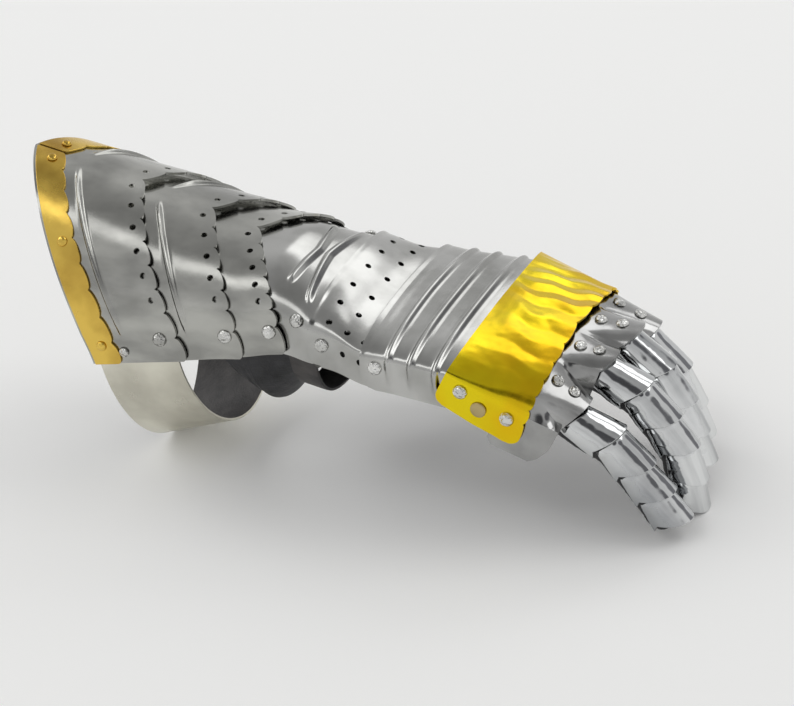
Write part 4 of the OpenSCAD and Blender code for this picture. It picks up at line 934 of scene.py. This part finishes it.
# %% Lobe rivets
RIVET_ROWS = (3.9, 2.75)
lobe_spots = []
for k in range(4):
    for v in RIVET_ROWS:
        left, right = (lobe_column(k, angle, [v, v + 0.2]) for angle in (-4, 4))
        n = np.cross(left[1] - left[0], right[0] - left[0])
        n = n / np.linalg.norm(n)
        lobe_spots.append(facing((left[0] + right[0]) / 2 + n * 0.2, n))
lobe_rivets = rivets("lobe_rivets", lobe_spots, MIDDLE, 1.4, RIVET_STEEL, place("base"), seed=21)
hang(lobe_rivets, "finger_base_rivets", "finger_base")

# %% [markdown]
# ## Finger lames
# A finger is a chain of short barrels. Plain cylinders would open a gap as soon as the finger bends, so the
# rear of each barrel is part of a ball about its own hinge and turns under the lame behind it. Flat facets
# round the barrel give the long streaks of light that bent sheet has.

# %% Finger lames
FLATNESS = 0.22
TAIL_CUT = 6.5
COVER, WRAP = 25, 108       # degrees of ball under the lame behind, and of barrel to each side
LAME_LINES, LAME_COLUMNS = 22, 85
OVERLAP = 0.6
CREASES = {"little": [-62, -24, 16, 58], "ring": [-60, -20, 20, 60], "middle": [-62, -22, 12, 56],
           "index": [-58, -16, 24, 62]}


def faceted(theta, wrap, creases):
    marks = np.radians(np.array([-wrap] + creases + [wrap], float))
    k = np.clip(np.searchsorted(marks, theta, side="right") - 1, 0, len(marks) - 2)
    mid, half = (marks[k] + marks[k + 1]) / 2, (marks[k + 1] - marks[k]) / 2
    return 1 - FLATNESS + FLATNESS * (np.cos(half) / np.cos(theta - mid))


def lame_grid(r_back, r_front, length, cover, wrap, creases, cut):
    theta = np.radians(np.linspace(-wrap, wrap, LAME_COLUMNS))
    flat = faceted(theta, wrap, creases)
    sides = np.clip(np.abs(np.sin(theta)), 0, 1)
    front_x = length - (cut * (1 - (1 - sides ** 2.0) ** 0.5) + np.where(np.abs(theta) > math.pi / 2, 0.6, 0))
    mid_r = (r_back + r_front) / 2 + 0.15
    rear = -r_back * math.sin(math.radians(cover))
    lines = []
    for t in np.linspace(0, 1, LAME_LINES):
        x = rear + (front_x - rear) * t
        r = np.where(x < 0, np.sqrt(np.maximum(r_back ** 2 - x ** 2, 0.1)),
                     np.interp(x, [0, length / 2, length], [r_back, mid_r, r_front]))
        share = np.clip((x + 2) / 6, 0, 1)
        r = r * (1 - share + share * flat)
        lines.append(np.stack([x, r * np.sin(theta), r * np.cos(theta)], axis=-1))
    return np.array(lines)


def front_r(i):
    return 12 - 0.25 * i


def rear_r(i):
    return (LOBE_R - 1.6 if i == 0 else front_r(i - 1)) - STEEL_T - 0.8


def chain_words(finger, word, end):
    return [f"{finger}_{word}_{i + 1}" for i in range(len(FINGERS[finger][3]) - 1)] + [finger + end]


BODY_WORDS = {n: chain_words(n, "finger", "_fingertip") for n in NAMES}
NODE_WORDS = {n: chain_words(n, "lame", "_tip") for n in NAMES}
for n in NAMES:
    for i, slope in enumerate(FINGERS[n][3]):
        grid = lame_grid(rear_r(i), front_r(i), FINGER_LENGTHS[i] + OVERLAP, COVER, WRAP, CREASES[n], TAIL_CUT)
        m = STAND @ Matrix.Translation(finger_joint(n, i)) @ Matrix.Rotation(-math.radians(slope), 4, "Y")
        # each lame's cut edges carry the dark painted shadow line
        lame = sheet_piece(NODE_WORDS[n][i] + "_sheet", grid, STEEL_T, m, MIRROR, 30, rim=RIM_SHADE)
        hang(lame, NODE_WORDS[n][i], BODY_WORDS[n][i])

# %% [markdown]
# ## Thumb
# The thumb has one long plate and two short lames. They could be copied from a finger and scaled, but that
# would change the sheet's thickness, so the same function makes them from their own sizes, in a frame of
# their own.

# %% Thumb
THUMB_SPOT, THUMB_TURNS = (13, 50.2, -25.8), (("Z", 20), ("Y", 34), ("X", -62))
THUMB_R, THUMB_PLATE, THUMB_LAME = 13.5, 34.0, 18.0
THUMB_SLOPES = (0, -12, -24)

THUMB_FRAME = STAND @ Matrix.Translation(P["perforated"] + np.array(THUMB_SPOT))
for axis, degrees in THUMB_TURNS:
    THUMB_FRAME = THUMB_FRAME @ Matrix.Rotation(math.radians(degrees), 4, axis)
thumb_rear = THUMB_R - STEEL_T - 0.8
j1 = np.array([THUMB_PLATE, 0, 0])
j2 = j1 + turned(THUMB_LAME, THUMB_SLOPES[1])
for node, body, hinge, slope, sizes in (
        ("thumb_plate", "thumb", np.zeros(3), THUMB_SLOPES[0],
         (THUMB_R - 0.5, THUMB_R, THUMB_PLATE + OVERLAP, 20, 80)),
        ("thumb_lame_1", "thumb_1", j1, THUMB_SLOPES[1],
         (thumb_rear, THUMB_R - 0.3, THUMB_LAME + OVERLAP, COVER, 84)),
        ("thumb_tip", "thumb_2", j2, THUMB_SLOPES[2],
         (thumb_rear - 0.3, THUMB_R - 0.9, THUMB_LAME + 2, COVER, 84))):
    grid = lame_grid(*sizes, [-40, 0, 40], 7)
    m = THUMB_FRAME @ Matrix.Translation(hinge) @ Matrix.Rotation(-math.radians(slope), 4, "Y")
    hang(sheet_piece(node + "_sheet", grid, STEEL_T, m, MIRROR, 30), node, body)
thumb_spot = facing((THUMB_PLATE * 0.45, 0, THUMB_R + 0.1), (0, 0, 1))
hang(rivets("thumb_plate_rivet", [thumb_spot], MIDDLE, 1.9, RIVET_STEEL, THUMB_FRAME), "thumb_rivet", "thumb")

# %% [markdown]
# ## Under plate
# A wide steel loop closes the cuff below the wrist. Half a cylinder would be too round: the real one is
# squarer at its corners, so its section is an ellipse with a raised power. Its inner face is given dark strap
# leather, a painted shade for the dark inside of the loop.

# %% Under plate
LOOP_POWER = 1.9
LOOP_START, LOOP_TOP = 12, 2


def under_grid():
    vs = np.linspace(-1, 1, 121)
    w = FRONT_W["cuff"] - STEEL_T - 0.1
    top = np.abs(vs) > 0.999
    lines = []
    for x in np.linspace(-CUFF_SIDE + UNDER_INSET, UNDER_FRONT, 16):
        depth = UNDER_DEPTH - UNDER_RISE * (x + CUFF_SIDE) / (UNDER_FRONT + CUFF_SIDE)
        a = (1 - np.abs(vs) * 0.998) * math.pi / 2
        y = np.where(top, np.sign(vs) * w, np.sign(vs) * w * np.cos(a) ** (2 / LOOP_POWER))
        z = np.where(top, LOOP_TOP, -LOOP_START - (depth - LOOP_START) * np.sin(a) ** (2 / LOOP_POWER))
        lines.append(np.stack([x + 0 * y, y, z], axis=-1))
    return np.array(lines)[:, ::-1]


# the inner face gets dark strap leather as painted shade for the dark inside of the loop
under_sheet = sheet_piece("under_sheet", under_grid(), STEEL_T, place("cuff"), GUARD, inner_shade=STRAP_LEATHER)
hang(under_sheet, "under_plate", "cuff")

# %% [markdown]
# ## Leather tubes
# The glove inside is soft and bends at every hinge. One skinned mesh would smear its weight over several
# joints, so each part is a tube along a smooth line through stations that follow the hinges, with small
# wrinkles, and it crosses one joint only. A station is a centre, a slope, a half
# width, and the reach above and below the centre.

# %% Leather tubes
LEATHER_T = 1.4
PER = 8         # rings from one station to the next
STALL_ROUND, HAND_ROUND = 44, 96
CLOSED_END = ((-1, 0.55), (-2, 0.83), (-3, 0.95))


def smooth_line(stations):
    rows = np.array([[*c, slope, w, top, bottom] for c, slope, w, top, bottom in stations], float)
    out = []
    for k in range(len(rows) - 1):
        p0, p1, p2, p3 = rows[max(k - 1, 0)], rows[k], rows[k + 1], rows[min(k + 2, len(rows) - 1)]
        for t in np.arange(PER) / PER:
            out.append(0.5 * (2 * p1 + (p2 - p0) * t + (2 * p0 - 5 * p1 + 4 * p2 - p3) * t ** 2
                              + (3 * p1 - p0 - 3 * p2 + p3) * t ** 3))
    out.append(rows[-1])
    return np.array(out)


def ring(s, thick, n, wrinkle=0.0):
    cx, cy, cz, slope, w, top, bottom = s
    a = np.linspace(0, 2 * math.pi, n, endpoint=False)
    fold = wrinkle * np.sin(3 * a + 40 * math.sin(cx * 0.3) + cx) * np.sin(cx * 1.9 + cz * 1.3)
    y = (w - thick + fold) * np.cos(a)
    z = (top - bottom) / 2 + ((top + bottom) / 2 - thick + fold) * np.sin(a)
    t = math.radians(slope)
    return np.stack([cx - z * math.sin(t), cy + y, cz + z * math.cos(t)], axis=-1)


def tube(name, line, matrix, n=STALL_ROUND, closed=False, wrinkle=0.12):
    rings = [ring(s, 0, n, wrinkle) for s in line]
    if closed:
        for k, share in CLOSED_END:
            middle = rings[k].mean(0)
            rings[k] = middle + (rings[k] - middle) * share
    inner = [ring(s, LEATHER_T, n) for s in (line[:-2] if closed else line)]
    start = len(rings) * n
    outer_end, inner_end = start - n, start + (len(inner) - 1) * n
    faces = [f[::-1] for f in spin_faces(len(rings), n, False)]
    faces += [[start + v for v in f] for f in spin_faces(len(inner), n, False)]
    for q in range(n):
        b = (q + 1) % n
        faces.append([q, start + q, start + b, b][::-1])
        if not closed:
            faces.append([outer_end + q, outer_end + b, inner_end + b, inner_end + q][::-1])
    if closed:
        faces.append([outer_end + q for q in range(n)])
        faces.append([inner_end + q for q in range(n)][::-1])
    return make(name, np.concatenate(rings + inner), faces, matrix, LEATHER, 60)


def bend_between(piece, node, parent, child, at, before, after, matrix):
    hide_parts(node)
    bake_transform(piece)
    print(piece.name, "-", len(piece.data.polygons), "faces, from", parent, "to", child)


print("leather is", LEATHER_T, "mm thick")

# %% [markdown]
# ## Glove fingers
# Each stall is split at its hinges, one tube for each lame, so that every tube crosses one joint only. A flat
# strap lies on it, where the real lames are riveted to leather. A plane would look like paper from the side,
# so the strap's section has eight corners, with rounded upper edges.

# %% Glove fingers
STALL_W, STALL_TOP, STALL_BOTTOM = 7.3, 5.8, 10.0
STRAP_HALF, STRAP_LOW, STRAP_HIGH = 3.7, 0.15, 0.95
STRAP_SECTION = [(-STRAP_HALF, STRAP_LOW), (STRAP_HALF, STRAP_LOW), (STRAP_HALF, STRAP_HIGH - 0.25),
                 (STRAP_HALF - 0.3, STRAP_HIGH), (STRAP_HALF * 0.5, STRAP_HIGH + 0.03),
                 (-STRAP_HALF * 0.5, STRAP_HIGH + 0.03), (-STRAP_HALF + 0.3, STRAP_HIGH),
                 (-STRAP_HALF, STRAP_HIGH - 0.25)]
RIM_W, RIM_TOP = 45.0, 11.0
TAPER_SIDE, TAPER_BELOW = 0.2, 0.4
ROOT_SLOPE = SLOPE["base"] - 3
BEND_REACH = 4.5


def finger_strap(name, line):
    verts = []
    for cx, cy, cz, slope, w, top, bottom in line:
        t = math.radians(slope)
        for y, z in STRAP_SECTION:
            z += top
            verts.append([cx - z * math.sin(t), cy + y, cz + z * math.cos(t)])
    faces = [f[::-1] for f in spin_faces(len(line), len(STRAP_SECTION))]
    return make(name, verts, faces, STAND, STRAP_LEATHER, 40)


def finger_line(n):
    y, x, z, slopes = FINGERS[n]
    rise = (RIM_TOP + 0.5) * math.sqrt(1 - (y / RIM_W) ** 2)
    root = [BX + 7.9 + 0.25 * rise, y, BZ + 1.5 + rise - STALL_TOP]
    stations = [(root, ROOT_SLOPE, STALL_W, STALL_TOP, STALL_BOTTOM)]
    for i, slope in enumerate(slopes):
        hinge = finger_joint(n, i)
        hinge_slope = slope if i == 0 else (slopes[i - 1] + slope) / 2
        size = (STALL_W - TAPER_SIDE * i, STALL_TOP, STALL_BOTTOM - TAPER_BELOW * i)
        stations.append((hinge, hinge_slope, *size))
        stations.append((hinge + turned(FINGER_LENGTHS[i] * 0.5, slope), slope, *size))
    end = hinge + turned(FINGER_LENGTHS[i] * 0.93, slope)
    stations.append((end, slope, STALL_W * 0.75, STALL_TOP * 0.75, STALL_BOTTOM * 0.55))
    return smooth_line(stations)


for n in NAMES:
    slopes = FINGERS[n][3]
    line = finger_line(n)
    parents = ["finger_base"] + BODY_WORDS[n]
    for i, slope in enumerate(slopes):
        tip_piece = i == len(slopes) - 1
        first, end = 2 * i * PER, len(line) - 1 if tip_piece else (2 * i + 2) * PER
        before = turned(BEND_REACH, ROOT_SLOPE if i == 0 else slopes[i - 1])
        joint = (parents[i], parents[i + 1], finger_joint(n, i), before, turned(BEND_REACH, slope), STAND)
        stall = tube(f"{n}_stall_{i + 1}", line[first:end + 1], STAND, closed=tip_piece)
        bend_between(stall, "glove_" + n, *joint)
        strap_line = line[max(first, PER):min(end, len(line) - 1 - PER // 2) + 1]
        bend_between(finger_strap(f"{n}_strap_{i + 1}", strap_line), n + "_strap", *joint)

# %% [markdown]
# ## Glove hand and sleeve
# The hand fills the space under the plates, and the sleeve ends in a slanted hem inside the cuff, as the
# photograph shows. A sculpted glove would look livelier where it shows, but most of it is hidden, and wide
# tubes with stronger wrinkles follow the plates closely without poking through them.

# %% Glove hand and sleeve
def ahead(plate, dx, dz=0.0):
    return P[plate] + np.array([dx, 0, dz])


knuckle_middle = (P["band"] + P["base"]) / 2 + np.array([-2, 0, 1])
hand_line = smooth_line([
    (ahead("perforated", -6), 3.9, 36, 8.6, 26), (ahead("perforated", 12, -1), -1.5, 38, 7.6, 27),
    (P["ribbed"], -1.5, 39, 7, 28), (ahead("ribbed", 24), 2.3, 43, 7.8, 28), (P["band"], -6, 46, 8, 26),
    (knuckle_middle, -10.5, 46.6, 9.8, 23), (ahead("base", -4, 2), -14, 47, 11.5, 20),
    (ahead("base", 9, 2), -14, 45, 11, 12)])
for k, (a, b, parent, child, plate, before, after) in enumerate((
        (0, 1, "wrist", "perforated", "perforated", turned(5, 3.9), turned(6, -1.5)),
        (1, 3, "perforated", "back_of_hand", "ribbed", turned(9, -1.5), turned(12, 2.3)),
        (3, 5, "back_of_hand", "knuckles", "band", turned(8, 2.3), turned(6, -10)),
        (5, 7, "knuckles", "finger_base", "base", turned(6, -14), turned(5, -14)))):
    part = tube(f"glove_hand_{k + 1}", hand_line[a * PER:b * PER + 1], STAND, HAND_ROUND, wrinkle=0.3)
    bend_between(part, "glove_hand", parent, child, P[plate], before, after, STAND)

sleeve_line = smooth_line([
    (ahead("lower", -15), 33, 40, 28, 52), (ahead("lower", -2), 20, 39, 25, 52),
    (ahead("lower", 9), 11, 38, 21, 49), (P["wrist"], 8, 34.7, 16.5, 42),
    (ahead("perforated", -7), 3.9, 34.6, 10.4, 27)])
hang(tube("glove_sleeve_tube", sleeve_line, STAND, HAND_ROUND, wrinkle=0.4), "glove_sleeve", "wrist")

# %% [markdown]
# ## Wrist strap
# A leather strap is riveted to the wrist lame and passes under the wrist. A ring of leather would stand off
# the plate, so the strip follows the plate's own sides first and then a low curve.

# %% Wrist strap
STRAP_GAP = 0.6
STRAP_BOTTOM, STRAP_POWER = 41, 0.7
STRAP_REAR, STRAP_FRONT = 6.5, 22.5
LOW_PART = 0.7      # share of each half strap that hangs under the wrist


def strap_point(v, x):
    k, side = abs(v), math.copysign(1, v)
    w = table(x, W["wrist"], 1.0) - STEEL_T - STRAP_GAP
    h = table(x, H["wrist"], 1.0) - STEEL_T - STRAP_GAP
    if k > LOW_PART:
        y, z = section(np.array(ARCH_SHARE - (k - LOW_PART) * 0.75), w, h)
        return [x, side * float(y), float(z)]
    a = k / LOW_PART * math.pi / 2
    z = ARCH_BASE - (STRAP_BOTTOM + ARCH_BASE) * max(math.cos(a), 0) ** STRAP_POWER
    return [x, side * w * math.sin(a) ** STRAP_POWER, z]


strap_round = np.linspace(-1, 1, 141)[::-1]
strap_along = np.linspace(STRAP_REAR, STRAP_FRONT, 10)
strap_grid = np.array([[strap_point(v, x) for v in strap_round] for x in strap_along])
strap = sheet_piece("wrist_strap_sheet", strap_grid, LEATHER_T, place("wrist"), STRAP_LEATHER, 60)
hang(strap, "wrist_strap", "wrist")

# %% [markdown]
# ## Glove thumb
# The thumb's leather starts close beside the palm and is split at the thumb's hinges like the fingers. It
# could be one tube with three weights, but here it is one tube for each hinge.

# %% Glove thumb
r = thumb_rear - STEEL_T - 1.1
thumb_root = np.array([-1.0, -0.7, -5.0])
thumb_end = j2 + turned(THUMB_LAME - 1, THUMB_SLOPES[2])
thumb_line = smooth_line([
    ([-8.4, -1.5, -10.2], 40, r - 0.6, r - 0.6, r - 0.6), ([5, 0, -1.2], 15, r, r - 0.4, r),
    ([17, 0, 0], 0, r, r, r), (j1, -6, r, r - 1.2, r), (j2, -18, r, r - 1.5, r),
    (thumb_end, THUMB_SLOPES[2], r * 0.7, r * 0.7, r * 0.7)])
for k, (a, b, parent, child, at, before, after) in enumerate((
        (0, 2, "back_of_hand", "thumb", thumb_root, turned(5, 40), turned(5, 30)),
        (2, 3.5, "thumb", "thumb_1", j1, turned(5, 0), turned(BEND_REACH, -12)),
        (3.5, 5, "thumb_1", "thumb_2", j2, turned(BEND_REACH, -12), turned(5, -24)))):
    part = tube(f"thumb_stall_{k + 1}", thumb_line[int(a * PER):int(b * PER) + 1], THUMB_FRAME, closed=k == 2)
    bend_between(part, "glove_thumb", parent, child, at, before, after, THUMB_FRAME)

# %% [markdown]
# ## Camera
# The camera could be moved by hand until the picture looks right. Here it was fitted to rivets and edges in
# the photograph: a long lens from the front right, with a small shift that puts the object where the
# photograph has it.

# %% Camera
PHOTO_W, PHOTO_H = 794, 706
FOCAL_PX, AXIS_X, AXIS_Y = 3748, 368.4, 265.7
SENSOR = 36
CAMERA_SPOT = (687.9, -1360.8, 921.5)
CAMERA_AXES = (0.9141, 0.4055, 0), (-0.2078, 0.4683, 0.8588), (0.3483, -0.7850, 0.5124)   # right, up and back

cam = bpy.data.objects.new("camera", bpy.data.cameras.new("camera"))
bpy.context.scene.collection.objects.link(cam)
tilt = Matrix.Rotation(TILT, 3, "Y")
m = Matrix([tilt @ Vector(axis) for axis in CAMERA_AXES]).transposed().to_4x4()
m.translation = STAND @ Vector(CAMERA_SPOT)
cam.matrix_world = m
cam.data.lens = FOCAL_PX / PHOTO_W * SENSOR
cam.data.shift_x = (PHOTO_W / 2 - AXIS_X) / PHOTO_W
cam.data.shift_y = (AXIS_Y - PHOTO_H / 2) / PHOTO_W
cam.data.clip_end = 20
bpy.context.scene.camera = cam
print("camera at", [round(v, 3) for v in m.translation])

# %% [markdown]
# ## Floor
# The floor is a plain pale sheet. A brighter lamp would whiten it but bleach the steel too. So it is pale by
# its own colour, and a small glow, seen only by the camera and in reflections and glass, lifts it and keeps
# the shadow.

# %% Floor
GLOW = 0.06
FLOOR_SIZE = 12

floor_material, nodes, links, shader = principled("pale_floor", (0.93, 0.93, 0.92), 0.0, 0.8)
shader.inputs["Specular IOR Level"].default_value = 0.1
seen = nodes.new("ShaderNodeLightPath")


def combine(operation, a, b):
    node = nodes.new("ShaderNodeMath")
    node.operation = operation
    links.new(a, node.inputs[0])
    if isinstance(b, float):
        node.inputs[1].default_value = b
    else:
        links.new(b, node.inputs[1])
    return node.outputs["Value"]


shown = seen.outputs["Is Camera Ray"]
for other in ("Is Glossy Ray", "Is Transmission Ray"):
    shown = combine("MAXIMUM", shown, seen.outputs[other])
links.new(combine("MULTIPLY", shown, GLOW), shader.inputs["Emission Strength"])
shader.inputs["Emission Color"].default_value = (1, 1, 1, 1)
s = FLOOR_SIZE / 2
corners = [(-s, -s, 0), (s, -s, 0), (s, s, 0), (-s, s, 0)]
floor = make("floor", corners, [[0, 1, 2, 3]], Matrix.Identity(4), floor_material)
print("floor", FLOOR_SIZE, "m wide")

# %% [markdown]
# ## Soft panels
# Polished steel shows what is round it, so four large soft panels light the object from behind, in front and
# both sides. Small lamps would give hard sparks in place of the long streaks of the photograph.

# %% Soft panels
def soft_panel(name, spot, aim, size, power):
    light = bpy.data.lights.new(name, "AREA")
    light.shape = "RECTANGLE"
    light.size, light.size_y = size
    light.energy = power
    o = bpy.data.objects.new(name, light)
    bpy.context.scene.collection.objects.link(o)
    facing_aim = (Vector(aim) - Vector(spot)).to_track_quat("-Z", "Y").to_matrix().to_4x4()
    o.matrix_world = Matrix.Translation(Vector(spot)) @ facing_aim
    print(name, power, "W")


soft_panel("far_panel", (0.16, 1.25, 1.17), (0.02, 0, 0.08), (0.95, 0.6), 2.1)
soft_panel("near_panel", (-0.5, -0.72, 1.55), (0, 0, 0.08), (1.3, 0.42), 2.1)
soft_panel("right_panel", (1.15, 0.65, 1.75), (0.05, 0, 0.08), (1.2, 0.9), 5.5)
soft_panel("left_panel", (-1.9, 0.2, 1.5), (0, 0, 0.08), (1.6, 1.2), 10)

# %% [markdown]
# ## Room
# The room is pale and darker overhead. A single grey world would leave the polished plates flat, so its tone
# changes with height, and three dark patches in it draw the dark streaks that the things in a real room
# draw.

# %% Room
ROOM_TONES = [(0.0, 0.7), (0.5, 0.8), (0.6, 0.72), (0.74, 0.62), (0.86, 0.68), (0.93, 0.5), (0.98, 0.36)]
DARK_PATCHES = (((0.32, -0.55, 0.77), 11, 0.08), ((0.75, -0.2, 0.62), 10, 0.15), ((0.62, 0.7, 0.3), 10, 0.2))
PATCH_EDGE = 4
PATCH_BLUE = 1.06

world = bpy.data.worlds.new("room")
bpy.context.scene.world = world
world.use_nodes = True
wn, wl = world.node_tree.nodes, world.node_tree.links
direction = wn.new("ShaderNodeTexCoord").outputs["Generated"]
split = wn.new("ShaderNodeSeparateXYZ")
wl.new(direction, split.inputs["Vector"])
half = wn.new("ShaderNodeMapRange")
half.inputs["From Min"].default_value = -1.0
wl.new(split.outputs["Z"], half.inputs["Value"])
tones = ramp(wn, ROOM_TONES)
wl.new(half.outputs["Result"], tones.inputs["Fac"])
room_light = tones.outputs["Color"]


def dark_patch(below, aim, spread_angle, value):
    dot = wn.new("ShaderNodeVectorMath")
    dot.operation = "DOT_PRODUCT"
    dot.inputs[1].default_value = Vector(aim).normalized()
    wl.new(direction, dot.inputs[0])
    share = wn.new("ShaderNodeMapRange")
    share.inputs["From Min"].default_value = math.cos(math.radians(spread_angle + PATCH_EDGE))
    share.inputs["From Max"].default_value = math.cos(math.radians(spread_angle))
    wl.new(dot.outputs["Value"], share.inputs["Value"])
    mix = wn.new("ShaderNodeMix")
    mix.data_type = "RGBA"
    wl.new(share.outputs["Result"], mix.inputs["Factor"])
    wl.new(below, mix.inputs["A"])
    mix.inputs["B"].default_value = (value, value, value * PATCH_BLUE, 1)
    return mix.outputs["Result"]


for patch in DARK_PATCHES:
    room_light = dark_patch(room_light, *patch)
wl.new(room_light, wn["Background"].inputs["Color"])
wn["Background"].inputs["Strength"].default_value = 1.0
bpy.context.scene.view_settings.view_transform = "Standard"
print(len(DARK_PATCHES), "dark patches in the room")
